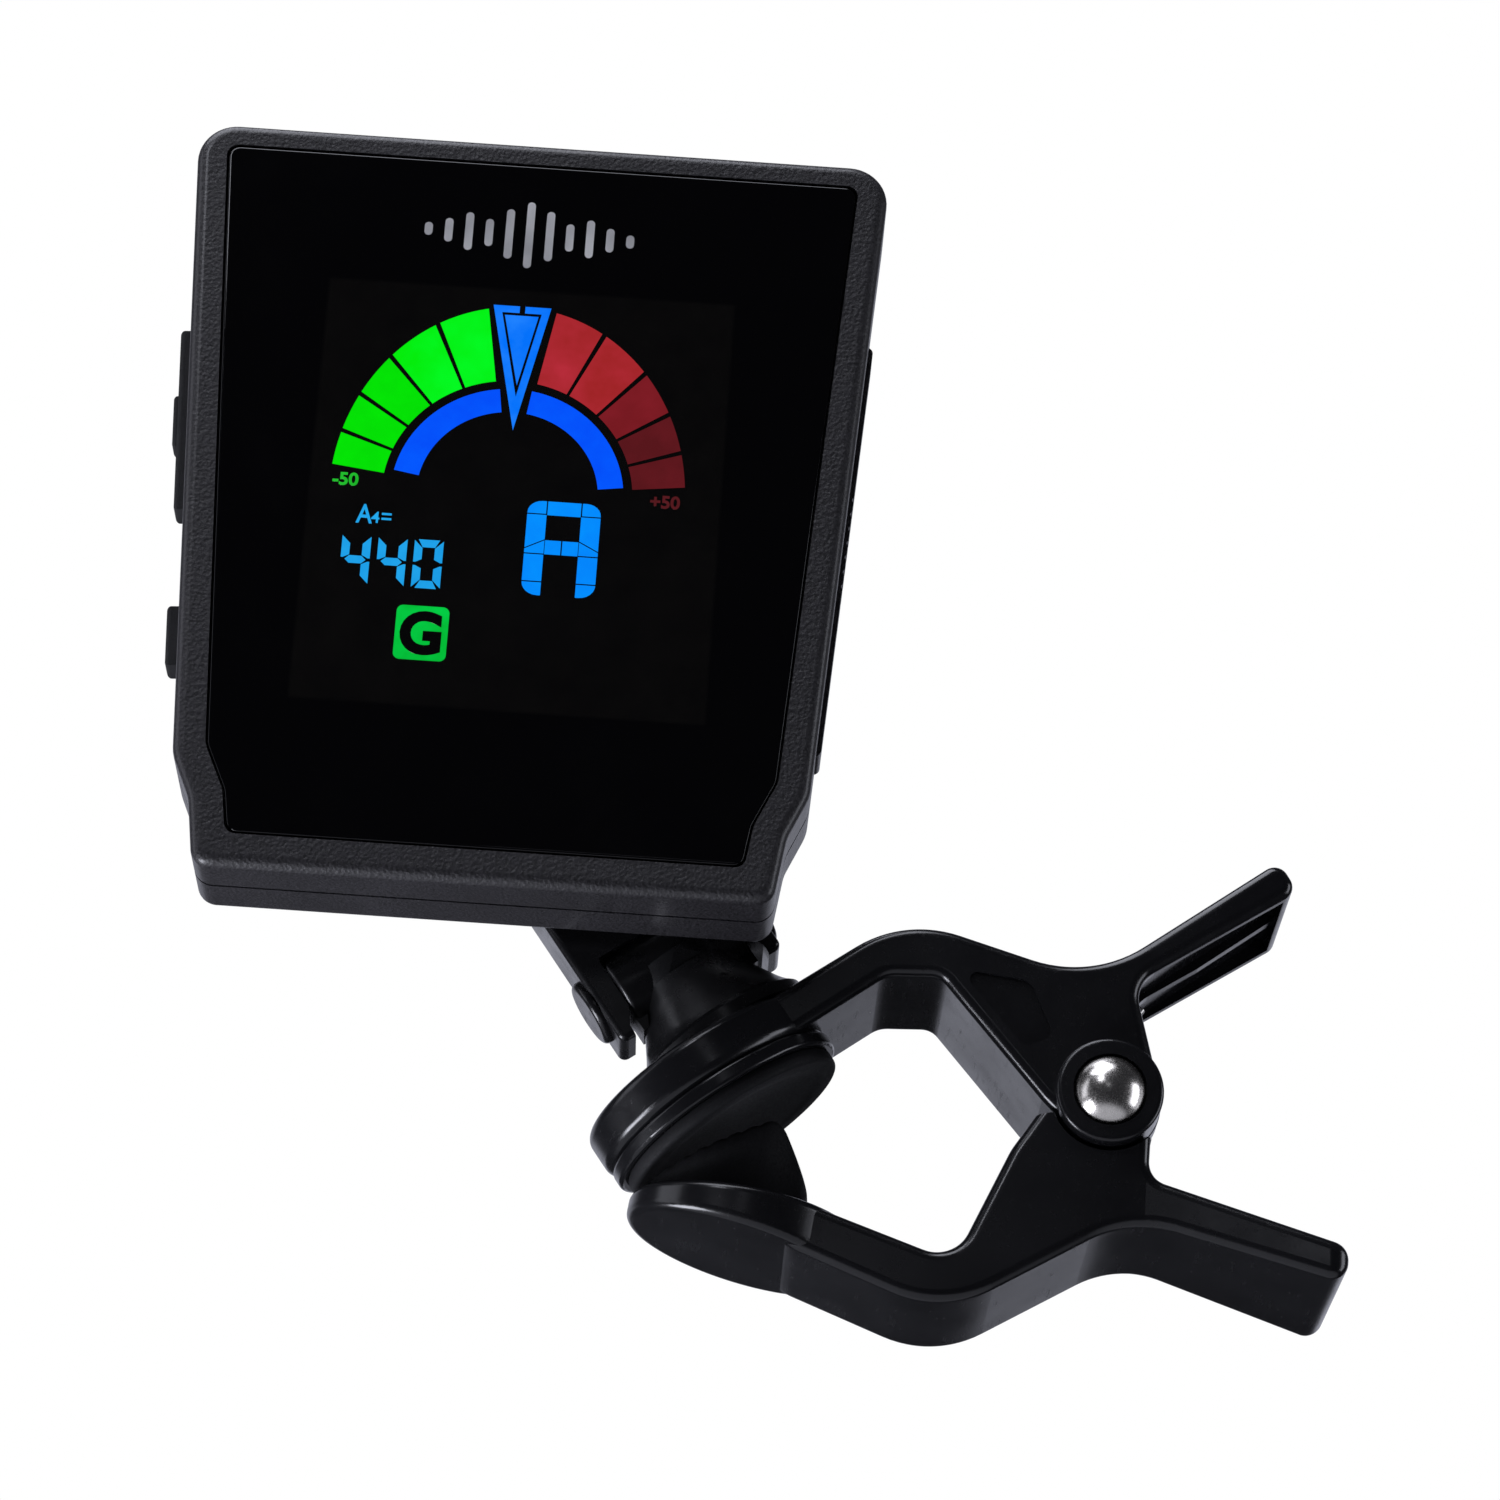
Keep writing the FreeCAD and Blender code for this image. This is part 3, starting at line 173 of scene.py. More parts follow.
def noise(tree, size_mm, detail=2.0, roughness=0.5, stretch=(1.0, 1.0, 1.0)):
    made = new_node(tree, "ShaderNodeTexNoise", Scale=1.0 / (size_mm * MM), Detail=detail,
                    Roughness=roughness)
    link(tree, place_of(tree, stretch), made.inputs["Vector"])
    return made.outputs["Fac"]


def cells(tree, size_mm):
    made = new_node(tree, "ShaderNodeTexVoronoi", feature="SMOOTH_F1", Scale=1.0 / (size_mm * MM),
                    Smoothness=0.6)
    link(tree, place_of(tree), made.inputs["Vector"])
    return made.outputs["Distance"]


def spread(tree, source, low, high, start=0.3, end=0.7, curve="LINEAR"):
    """Maps source from start..end to low..high."""
    made = new_node(tree, "ShaderNodeMapRange", interpolation_type=curve)
    made.inputs["From Min"].default_value = start
    made.inputs["From Max"].default_value = end
    made.inputs["To Min"].default_value = low
    made.inputs["To Max"].default_value = high
    link(tree, source, made.inputs["Value"])
    return made.outputs["Result"]


def maths(tree, operation, first, second=None):
    made = new_node(tree, "ShaderNodeMath", operation=operation)
    for socket, value in zip(made.inputs, (first, second)):
        if isinstance(value, (int, float)):
            socket.default_value = value
        elif value is not None:
            link(tree, value, socket)
    return made.outputs["Value"]


MIX_FIRST, MIX_SECOND, MIX_RESULT = 6, 7, 2     # a Mix node's sockets for colours, which share names


def colours(tree, factor, first, second):
    """A colour that goes from first to second with factor."""
    made = new_node(tree, "ShaderNodeMix", data_type="RGBA")
    link(tree, factor, made.inputs["Factor"])
    for socket, value in ((made.inputs[MIX_FIRST], first), (made.inputs[MIX_SECOND], second)):
        if isinstance(value, tuple):
            socket.default_value = (*value, 1.0)
        else:
            link(tree, value, socket)
    return made.outputs[MIX_RESULT]


def bump(tree, height, depth_mm, strength=1.0, onto=None):
    made = new_node(tree, "ShaderNodeBump", Strength=strength, Distance=depth_mm * MM)
    link(tree, height, made.inputs["Height"])
    if onto is not None:
        link(tree, onto, made.inputs["Normal"])
    return made.outputs["Normal"]


def edge_mask(tree, radius_mm):
    """1 on edges sharper than the radius, 0 on flat faces."""
    bevel = new_node(tree, "ShaderNodeBevel", samples=4, Radius=radius_mm * MM)
    geometry = new_node(tree, "ShaderNodeNewGeometry")
    dot = new_node(tree, "ShaderNodeVectorMath", operation="DOT_PRODUCT")
    link(tree, bevel.outputs["Normal"], dot.inputs[0])
    link(tree, geometry.outputs["Normal"], dot.inputs[1])
    return spread(tree, dot.outputs["Value"], 1.0, 0.0, 0.90, 0.995)


def start_material(name, **values):
    material = bpy.data.materials.new(name)
    material.use_nodes = True
    shader = material.node_tree.nodes["Principled BSDF"]
    for key, value in values.items():
        socket = shader.inputs[key.replace("_", " ")]
        socket.default_value = (*value, 1.0) if isinstance(value, tuple) else value
    return material, material.node_tree, shader


# ======================= materials =======================

def grained_plastic(name, colour, grain_mm, depth_mm):
    """Matte moulded plastic with a spark-eroded grain, polished a little on its edges, whose colour is lightened
    there in patches: partly rubbed wear, partly a painted edge highlight.
    """
    material, tree, shader = start_material(name, Specular_IOR_Level=0.5, Coat_Weight=0.4,
                                            Coat_Roughness=0.22)
    patch = noise(tree, 6.0, 3.0)
    lighter = tuple(c * 1.35 for c in colour)
    # edge colour, lighter than the face: partly rubbed wear, partly a painted edge highlight
    wear_and_sheen_colour = tuple(c * 1.9 + 0.004 for c in colour)
    edges = edge_mask(tree, 0.35)
    # patchy edge mask: rubbed wear for the polish, and a painted edge highlight in the colour
    wear_and_sheen = maths(tree, "MULTIPLY", edges, spread(tree, noise(tree, 1.6, 4.0), 0.0, 0.35, 0.42, 0.62))
    fine = noise(tree, grain_mm, 2.0, 0.6)
    # darker colour where the fine grain sinks: painted shade in the grain's hollows
    pit_shade_colour = tuple(c * 0.45 for c in colour)
    base = colours(tree, spread(tree, patch, 0.0, 1.0), colour, lighter)
    base = colours(tree, spread(tree, fine, 0.0, 1.0, 0.38, 0.56), pit_shade_colour, base)
    link(tree, colours(tree, wear_and_sheen, base, wear_and_sheen_colour), shader.inputs["Base Color"])
    pits = cells(tree, grain_mm * 1.6)
    relief = maths(tree, "ADD", maths(tree, "MULTIPLY", pits, 0.7), maths(tree, "MULTIPLY", fine, 0.6))
    link(tree, bump(tree, relief, depth_mm), shader.inputs["Normal"])
    uneven = maths(tree, "ADD", fine, maths(tree, "MULTIPLY", patch, 0.4))
    dull = spread(tree, uneven, 0.50, 0.66, 0.45, 0.9)
    polish = maths(tree, "MULTIPLY", wear_and_sheen, 0.12)
    link(tree, maths(tree, "SUBTRACT", dull, polish), shader.inputs["Roughness"])
    return material


def gloss_plastic(name, colour, shine=(0.19, 0.27)):
    """Smooth moulded plastic: slow waves from the mould, fine hairline scratches and dull finger marks."""
    material, tree, shader = start_material(name, Specular_IOR_Level=0.5)
    lighter = tuple(c * 1.5 for c in colour)
    link(tree, colours(tree, spread(tree, noise(tree, 9.0, 2.0), 0.0, 1.0), colour, lighter),
         shader.inputs["Base Color"])
    smear = noise(tree, 4.0, 4.0, 0.6)
    scratch = noise(tree, 0.35, 2.0, 0.5, (1.0, 0.12, 1.0))
    lines = spread(tree, scratch, 0.0, 0.06, 0.60, 0.72)
    dull = spread(tree, smear, shine[0], shine[1], 0.35, 0.70)
    link(tree, maths(tree, "ADD", dull, lines), shader.inputs["Roughness"])
    waves = bump(tree, noise(tree, 11.0, 1.0), 0.020)
    link(tree, bump(tree, noise(tree, 0.22, 2.0), 0.0012, 0.5, waves), shader.inputs["Normal"])
    return material


def soft_rubber(name, colour, grain_mm=0.16):
    """Matte moulded rubber with a powdery bloom."""
    material, tree, shader = start_material(name, Specular_IOR_Level=0.25)
    bloom = noise(tree, 2.4, 4.0, 0.6)
    lighter = tuple(c * 1.7 for c in colour)
    link(tree, colours(tree, spread(tree, bloom, 0.0, 1.0), colour, lighter), shader.inputs["Base Color"])
    fine = noise(tree, grain_mm, 3.0)
    link(tree, spread(tree, fine, 0.62, 0.82), shader.inputs["Roughness"])
    link(tree, bump(tree, fine, 0.02), shader.inputs["Normal"])
    return material


def metal(name, colour, shine, brush=(1.0, 1.0, 1.0), brush_mm=0.12):
    """Plated or machined metal with polishing marks and faint stains."""
    material, tree, shader = start_material(name, Metallic=1.0)
    stain = noise(tree, 1.8, 4.0, 0.6)
    darker = tuple(c * 0.82 for c in colour)
    link(tree, colours(tree, spread(tree, stain, 0.0, 1.0), darker, colour), shader.inputs["Base Color"])
    marks = noise(tree, brush_mm, 2.0, 0.5, brush)
    link(tree, spread(tree, marks, shine[0], shine[1]), shader.inputs["Roughness"])
    link(tree, bump(tree, marks, 0.002, 0.7), shader.inputs["Normal"])
    return material


def mottled(name, colour, shine, grain_mm=0.3, depth_mm=0.01):
    """A plain moulded or laminated surface, for the inner pieces."""
    material, tree, shader = start_material(name)
    patch = noise(tree, 2.5, 4.0)
    darker = tuple(c * 0.8 for c in colour)
    link(tree, colours(tree, spread(tree, patch, 0.0, 1.0), darker, colour), shader.inputs["Base Color"])
    fine = noise(tree, grain_mm, 2.0)
    link(tree, spread(tree, fine, shine[0], shine[1]), shader.inputs["Roughness"])
    link(tree, bump(tree, fine, depth_mm), shader.inputs["Normal"])
    return material


PRINT_BLUR = 0.15 * MM                  # half the width of the soft edge round the display panel


def display_window():
    """Black gloss window. The display panel's area is a little browner than the print round it."""
    material, tree, shader = start_material("lens_acrylic", Specular_IOR_Level=0.5)
    low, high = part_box("lcd_panel")
    coords = new_node(tree, "ShaderNodeTexCoord")
    split = new_node(tree, "ShaderNodeSeparateXYZ")
    link(tree, coords.outputs["Object"], split.inputs["Vector"])
    masks = []
    for axis, first, last in (("X", low.x, high.x), ("Z", low.z, high.z)):
        away = maths(tree, "ABSOLUTE", maths(tree, "SUBTRACT", split.outputs[axis], (first + last) / 2))
        half = (last - first) / 2
        masks.append(spread(tree, away, 1.0, 0.0, half - PRINT_BLUR, half + PRINT_BLUR))
    inside = maths(tree, "MULTIPLY", masks[0], masks[1])
    cloudy = spread(tree, noise(tree, 3.0, 5.0, 0.65), 0.5, 1.0)
    print_black = (0.0012, 0.0011, 0.0016)
    panel_black = (0.0062, 0.0056, 0.0050)
    link(tree, colours(tree, maths(tree, "MULTIPLY", inside, cloudy), print_black, panel_black),
         shader.inputs["Base Color"])
    smear = noise(tree, 7.0, 4.0, 0.55)
    link(tree, spread(tree, smear, 0.045, 0.11, 0.35, 0.7), shader.inputs["Roughness"])
    link(tree, bump(tree, noise(tree, 12.0, 1.0), 0.02), shader.inputs["Normal"])
    return material


def lit(name, colour, pale, unevenness_mm=2.2):
    """A lit area of the display, a little uneven, under the window's gloss."""
    material, tree, shader = start_material(name, Base_Color=(0.002, 0.002, 0.002), Specular_IOR_Level=0.5,
                                            Emission_Strength=1.0)
    uneven = spread(tree, noise(tree, unevenness_mm, 3.0, 0.6), 0.0, 1.0, 0.35, 0.72)
    link(tree, colours(tree, uneven, colour, pale), shader.inputs["Emission Color"])
    link(tree, spread(tree, noise(tree, 0.25, 2.0), 0.06, 0.12), shader.inputs["Roughness"])
    return material


def silver_print():
    """Silver ink on the window: small flakes, and a soft change of tone along it."""
    material, tree, shader = start_material("silver_print", Metallic=0.25)
    tone = noise(tree, 4.0, 2.0)
    flakes = noise(tree, 0.06, 1.0)
    link(tree, colours(tree, spread(tree, tone, 0.0, 1.0), (0.52, 0.52, 0.53), (0.86, 0.86, 0.86)),
         shader.inputs["Base Color"])
    link(tree, spread(tree, flakes, 0.30, 0.50), shader.inputs["Roughness"])
    link(tree, bump(tree, flakes, 0.003), shader.inputs["Normal"])
    return material


def floor_material():
    """Pale matte floor that fades out all round."""
    material, tree, shader = start_material("floor")
    link(tree, colours(tree, noise(tree, 60.0, 4.0), (0.80, 0.80, 0.81), (0.86, 0.86, 0.87)),
         shader.inputs["Base Color"])
    link(tree, spread(tree, noise(tree, 3.0, 3.0), 0.55, 0.75), shader.inputs["Roughness"])
    link(tree, bump(tree, noise(tree, 1.5, 3.0), 0.05), shader.inputs["Normal"])
    away = new_node(tree, "ShaderNodeVectorMath", operation="LENGTH")
    link(tree, place_of(tree), away.inputs[0])
    link(tree, spread(tree, away.outputs["Value"], 1.0, 0.0, FLOOR_SOLID, FLOOR_EDGE), shader.inputs["Alpha"])
    return material


def slot_materials():
    """The finish of every material slot in the record."""
    return {
        "clip_plastic": gloss_plastic("clip_plastic", (0.0065, 0.0065, 0.0075)),
        "arm_plastic": gloss_plastic("arm_plastic", (0.0065, 0.0065, 0.0072), (0.20, 0.34)),
        "case_plastic": grained_plastic("case_plastic", (0.0140, 0.0128, 0.0160), 0.19, 0.075),
        "lens_acrylic": display_window(),
        "pad_rubber": soft_rubber("pad_rubber", (0.006, 0.006, 0.007)),
        "gasket_rubber": soft_rubber("gasket_rubber", (0.010, 0.010, 0.010)),
        "key_rubber": soft_rubber("key_rubber", (0.013, 0.013, 0.014), 0.12),
        "nickel": metal("nickel", (0.80, 0.77, 0.73), (0.20, 0.30)),
        "spring_steel": metal("spring_steel", (0.50, 0.49, 0.47), (0.22, 0.38), (1.0, 8.0, 1.0)),
        "zinc_steel": metal("zinc_steel", (0.62, 0.62, 0.60), (0.22, 0.38)),
        "cell_steel": metal("cell_steel", (0.70, 0.70, 0.69), (0.18, 0.30), (8.0, 1.0, 1.0), 0.3),
        "nylon": mottled("nylon", (0.62, 0.60, 0.54), (0.4, 0.55)),
        "lcd_glass": mottled("lcd_glass", (0.05, 0.055, 0.06), (0.06, 0.12)),
        "diffuser": mottled("diffuser", (0.80, 0.80, 0.78), (0.35, 0.5)),
        "board": mottled("board", (0.020, 0.110, 0.045), (0.30, 0.45), 0.5, 0.02),
        "chip": mottled("chip", (0.018, 0.018, 0.020), (0.45, 0.6), 0.12),
        "switch": mottled("switch", (0.55, 0.55, 0.53), (0.35, 0.5)),
        "contact_brass": metal("contact_brass", (0.78, 0.60, 0.30), (0.22, 0.38)),
    }


# ======================= mesh helpers =======================

def finish_piece(name, mesh, material, body):
    piece = bpy.data.objects.new(name, mesh)
    bpy.context.scene.collection.objects.link(piece)
    mesh.materials.clear()
    mesh.materials.append(material)
    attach(piece, body)
    return piece


def mesh_from(name, bm):
    bmesh.ops.recalc_face_normals(bm, faces=bm.faces)
    mesh = bpy.data.meshes.new(name)
    bm.to_mesh(mesh)
    bm.free()
    return mesh


def stitch(bm, rings):
    """Faces between each ring of points and the next. A ring of one point closes an end."""
    steps = max(len(ring) for ring in rings)
    for first, second in zip(rings, rings[1:]):
        for i in range(steps):
            j = (i + 1) % steps
            corners = [first[i % len(first)], first[j % len(first)],
                       second[j % len(second)], second[i % len(second)]]
            bm.faces.new(list(dict.fromkeys(corners)))


# ======================= display =======================

INK_PROUD = 0.02 * MM                   # how far the display's marks stand in front of the window
INK_SUNK = 0.03 * MM                    # and how far they reach into it
PANEL_LOW, PANEL_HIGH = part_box("lcd_panel")
PANEL = (PANEL_LOW + PANEL_HIGH) / 2
WINDOW_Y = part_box("display_lens")[0].y


def display_piece(name, shapes, material):
    """Thin closed plates on the window. A shape is its (right, up) corners in mm from the panel's middle."""
    bm = bmesh.new()
    for corners in shapes:
        rings = []
        for y in (WINDOW_Y - INK_PROUD, WINDOW_Y + INK_SUNK):
            rings.append([bm.verts.new((PANEL.x + u * MM, y, PANEL.z + v * MM)) for u, v in corners])
        front, back = rings
        bm.faces.new(front)
        bm.faces.new(list(reversed(back)))
        for i in range(len(front)):
            j = (i + 1) % len(front)
            bm.faces.new((front[i], back[i], back[j], front[j]))
    return finish_piece(name, mesh_from(name, bm), material, "head")


def arc_band(inner, outer, start, end, centre, steps=24):
    """Corners of a band between two arcs or ellipses, each given as (half width, half height)."""
    points = []
    for (half_w, half_h), order in ((outer, range(steps + 1)), (inner, range(steps, -1, -1))):
        for i in order:
            angle = math.radians(start + (end - start) * i / steps)
            reach = 1.0 / math.hypot(math.cos(angle) / half_w, math.sin(angle) / half_h)
            points.append((centre[0] + reach * math.cos(angle), centre[1] + reach * math.sin(angle)))
    return points


def round_box(middle, width, height, radius):
    """Outline of a box with rounded corners, anticlockwise from the top right."""
    points = []
    steps = 6
    for i, (side, rise) in enumerate(((1, 1), (-1, 1), (-1, -1), (1, -1))):
        cx = middle[0] + side * (width / 2 - radius)
        cz = middle[1] + rise * (height / 2 - radius)
        for k in range(steps + 1):
            angle = math.radians(90 * (i + k / steps))
            points.append((cx + radius * math.cos(angle), cz + radius * math.sin(angle)))
    return points


def lettering(name, words, height, place, material, bold=0.0, squeeze=1.0, proud=INK_PROUD):
    """Flat letters of the built-in font; place is the low left corner in mm from the panel's middle."""
    curve = bpy.data.curves.new(name, "FONT")
    curve.body = words
    curve.offset = bold
    curve.extrude = 0.5
    curve.resolution_u = 6
    maker = bpy.data.objects.new(name + "_maker", curve)
    bpy.context.scene.collection.objects.link(maker)
    bpy.context.view_layer.update()
    mesh = bpy.data.meshes.new_from_object(maker.evaluated_get(bpy.context.evaluated_depsgraph_get()))
    bpy.data.objects.remove(maker)
    low_x = min(v.co.x for v in mesh.vertices)
    low_y = min(v.co.y for v in mesh.vertices)
    tall = max(v.co.y for v in mesh.vertices) - low_y
    scale = height * MM / tall
    for v in mesh.vertices:
        right = PANEL.x + place[0] * MM + (v.co.x - low_x) * scale * squeeze
        up = PANEL.z + place[1] * MM + (v.co.y - low_y) * scale
        v.co = (right, WINDOW_Y - proud if v.co.z > 0 else WINDOW_Y + INK_SUNK, up)
    mesh.name = name
    bm = bmesh.new()
    bm.from_mesh(mesh)
    bmesh.ops.remove_doubles(bm, verts=bm.verts, dist=0.001 * MM)
    bm.to_mesh(mesh)
    bm.free()
    return finish_piece(name, mesh, material, "head")


GAUGE = (-0.6, 0.2)                     # centre of the gauge, in mm from the panel's middle
GAUGE_IN = (9.45, 9.45)
GAUGE_OUT = (13.4, 15.65)
GAUGE_EDGES = (9.6, 24.8, 41.9, 57.3, 71.0, 83.9)      # degrees from the vertical
GAUGE_GAP = 0.75                        # half the gap between two segments, in degrees
ARC_IN, ARC_OUT = (6.85, 6.85), (8.77, 8.77)
ARC_SPANS = (("left", 98.0, 170.5), ("right", 8.0, 82.0))      # degrees from the right


def make_gauge(green, pale_green, reds, blue):
    """Ten segments, green to the left and red to the right, round two thin blue arcs."""
    for side, word in ((1, "green"), (-1, "red")):
        for i in range(5):
            start = 90 + side * (GAUGE_EDGES[i] + (GAUGE_GAP if i else 0))
            end = 90 + side * (GAUGE_EDGES[i + 1] - GAUGE_GAP)
            material = (pale_green if i < 2 else green) if side > 0 else reds[(0, 0, 1, 2, 2)[i]]
            band = arc_band(GAUGE_IN, GAUGE_OUT, start, end, GAUGE, 10)
            display_piece(f"gauge_{word}_{i + 1}", [band], material)
    for word, start, end in ARC_SPANS:
        display_piece(f"arc_{word}", [arc_band(ARC_IN, ARC_OUT, start, end, GAUGE)], blue)


def make_pointer(blue):
    """The pointer: a triangle's outline in two halves, with a small filled triangle inside."""
    top, tip = 15.92, 5.55
    left, right, middle = -2.86, 1.56, -0.58
    line, gap = 0.56, 0.16
    inner_top = top - line
    inner_tip = 8.35
    rim = [
        [(left, top), (middle - gap - 0.1, top), (middle - gap - 0.1, inner_top),
         (left + line * 1.25, inner_top), (middle, inner_tip), (middle, tip)],
        [(right, top), (middle, tip), (middle, inner_tip), (right - line * 1.25, inner_top),
         (middle + gap, inner_top), (middle + gap, top)],
    ]
    display_piece("pointer_edge", rim, blue)
    fill = [(left + 0.92, inner_top - 0.22), (middle, inner_tip + 0.95), (right - 0.92, inner_top - 0.22)]
    display_piece("pointer_fill", [fill], blue)


def digit_shapes(left, low, width, height, bars):
    """Seven-bar digit; bars names the lit ones."""
    thick, gap, nick = 0.62, 0.07, 0.16
    end = gap * 2 + 0.15
    right, top, mid = left + width, low + height, low + height / 2
    over, under = mid + thick / 2, mid - thick / 2
    made = {
        "top": [(left + end, top), (right - end, top), (right - thick, top - thick),
                (left + thick, top - thick)],
        "bottom": [(left + end, low), (left + thick, low + thick), (right - thick, low + thick),
                   (right - end, low)],
        "middle": [(left + 0.3, mid), (left + thick, over), (right - thick, over), (right - 0.3, mid),
                   (right - thick, under), (left + thick, under)],
        "high_left": [(left, top - gap), (left, mid + gap * 2), (left + nick, mid + gap * 2),
                      (left + thick, over + gap), (left + thick, top - thick - gap)],
        "high_right": [(right, top - gap), (right - thick, top - thick - gap), (right - thick, over + gap),
                       (right - nick, mid + gap * 2), (right, mid + gap * 2)],
        "low_left": [(left, low + gap), (left + thick, low + thick + gap), (left + thick, under - gap),
                     (left + nick, mid - gap * 2), (left, mid - gap * 2)],
        "low_right": [(right, low + gap), (right, mid - gap * 2), (right - nick, mid - gap * 2),
                      (right - thick, under - gap), (right - thick, low + thick + gap)],
    }
    return [made[bar] for bar in bars]


FOUR = ("high_left", "high_right", "middle", "low_right")
NOUGHT = ("top", "high_left", "high_right", "low_left", "low_right", "bottom")


def make_pitch(sky):
    """The reference pitch: A4=440."""
    left, low, width, height, step = -12.62, -7.85, 2.18, 3.95, 2.72
    for i, bars in enumerate((FOUR, FOUR, NOUGHT)):
        shapes = digit_shapes(left + i * step, low, width, height, bars)
        display_piece(f"pitch_digit_{i + 1}", shapes, sky)
    lettering("pitch_letter", "A", 1.55, (-11.76, -2.88), sky, 0.012, 0.80)
    lettering("pitch_octave", "4", 0.92, (-10.62, -2.80), sky, 0.012)
    start, end, thick = -9.84, -9.10, 0.17
    dashes = [[(start, v), (start, v + thick), (end, v + thick), (end, v)] for v in (-2.12, -2.52)]
    display_piece("pitch_equals", dashes, sky)


def make_note(sky):
    """The big note letter, an A made of bars with thin gaps between them."""
    left, right, top, low = 1.05, 6.58, -0.1, -7.78
    bar, gap = 1.46, 0.05
    hole_top, mid_top, mid_low = -1.22, -3.28, -4.42
    slant = 0.42
    head_w, head_h, foot_w, foot_h = 1.1, 0.95, 1.2, 1.05
    shapes = []
    for side in (-1, 1):
        outer = left if side < 0 else right
        inner = outer - side * bar
        step = side * gap
        turns = [math.radians(angle) for angle in range(0, 91, 15)]
        head = [(outer - side * head_w * (1 - math.cos(a)), top - head_h * (1 - math.sin(a)))
                for a in turns]
        foot = [(outer - side * foot_w * (1 - math.cos(a)), low + foot_h * (1 - math.sin(a)))
                for a in turns]
        high_in, high_out = mid_top + slant * 0.2, mid_low + slant
        shapes.append([(inner + step, hole_top + gap * 2), (outer, hole_top + gap * 2)] + head[1:]
                      + [(inner + step, top)])
        shapes.append([(inner, hole_top), (outer, hole_top), (outer, high_out + gap), (inner, high_in)])
        shapes.append([(inner, high_in - gap * 2), (outer, high_out - gap), (outer, mid_low + gap),
                       (inner, mid_low + gap)])
        shapes.append([(inner, mid_low - gap), (outer, mid_low - gap), (outer, low + foot_h + gap * 2),
                       (inner, low + foot_h + gap * 2)])
        shapes.append([(inner, low + foot_h)] + foot + [(inner, low)])
    inner_left, inner_right = left + bar + gap, right - bar - gap
    middle = (left + right) / 2
    shapes.append([(inner_left, hole_top), (inner_left, top), (inner_right, top), (inner_right, hole_top)])
    for x0, x1 in ((inner_left, middle - gap), (middle + gap, inner_right)):
        shapes.append([(x0, mid_low), (x0, mid_top), (x1, mid_top), (x1, mid_low)])
    display_piece("note_letter", shapes, sky)


def make_mode(green, ink):
    """The instrument mode: a dark G on a lit square."""
    middle, width, height, corner = (-6.08, -11.46), 3.95, 4.36, 0.5
    display_piece("mode_square", [round_box(middle, width, height, corner)], green)
    place = (middle[0] - 1.62, middle[1] - 1.78)
    lettering("mode_letter", "G", 3.55, place, ink, 0.045, 0.98, INK_PROUD * 2)


def make_mark(silver):
    """A generic mark above the display: a row of upright bars, like a sound level."""
    heights = (1.1, 2.0, 3.2, 2.3, 4.2, 5.6, 4.2, 2.3, 3.2, 2.0, 1.1)
    pitch, width, middle_up = 1.55, 0.62, 22.0
    shapes = []
    for i, height in enumerate(heights):
        middle = (GAUGE[0] + (i - (len(heights) - 1) / 2) * pitch, middle_up)
        shapes.append(round_box(middle, width, height, width / 2))
    display_piece("window_mark", shapes, silver)


def make_display():
    green = lit("lit_green", (0.0, 0.72, 0.0), (0.0, 0.80, 0.0))
    pale_green = lit("lit_pale_green", (0.0, 0.84, 0.002), (0.0, 0.96, 0.016), 4.5)
    reds = (lit("lit_red", (0.34, 0.016, 0.018), (0.46, 0.024, 0.040), 4.0),
            lit("lit_dark_red", (0.18, 0.009, 0.014), (0.23, 0.012, 0.020), 4.0),
            lit("lit_darkest_red", (0.095, 0.007, 0.010), (0.135, 0.009, 0.014), 4.0))
    blue = lit("lit_blue", (0.0, 0.078, 0.95), (0.0, 0.10, 1.0))
    pointer = lit("lit_pointer", (0.0, 0.165, 0.96), (0.012, 0.22, 1.0))
    sky = lit("lit_sky", (0.010, 0.33, 0.78), (0.018, 0.40, 0.86))
    note = lit("lit_note", (0.0, 0.235, 0.97), (0.0, 0.28, 1.0))
    mode = lit("lit_mode", (0.0, 0.48, 0.035), (0.0, 0.62, 0.06))
    scale_green = lit("lit_scale_green", (0.01, 0.42, 0.02), (0.02, 0.55, 0.03))
    scale_red = lit("lit_scale_red", (0.07, 0.008, 0.010), (0.10, 0.01, 0.014))
    make_gauge(green, pale_green, reds, blue)
    make_pointer(pointer)
    lettering("scale_low", "-50", 1.08, (-13.80, 0.10), scale_green, 0.03, 1.05)
    lettering("scale_high", "+50", 1.08, (10.20, -0.06), scale_red, 0.03, 1.02)
    make_pitch(sky)
    make_note(note)
    make_mode(mode, mottled("display_black", (0.003, 0.003, 0.003), (0.06, 0.12)))
    make_mark(silver_print())


# ======================= rubber pads =======================

def spans(node, middle, axes):
    """Lowest and highest reach of a node's points along each axis, from middle."""
    points = [v.co - middle for v in frame["nodes"][node].data.vertices]
    return [(min(p.dot(a) for p in points), max(p.dot(a) for p in points)) for a in axes]


def lathe(name, profile, middle, axis):
    """Closed shape turned about axis; profile is (radius, height) from middle, from axis to axis."""
    steps = 96
    across = axis.cross(Vector((0.0, 1.0, 0.0))).normalized()
    along = axis.cross(across)
    bm = bmesh.new()
    rings = []
    for radius, height in profile:
        base = middle + axis * height
        if radius == 0:
            rings.append([bm.verts.new(base)])
            continue
        ring = []
        for i in range(steps):
            angle = 2 * math.pi * i / steps
            ring.append(bm.verts.new(base + (across * math.cos(angle) + along * math.sin(angle)) * radius))
        rings.append(ring)
    stitch(bm, rings)
    return mesh_from(name, bm)


SMOOTH_ANGLE = math.radians(40.0)


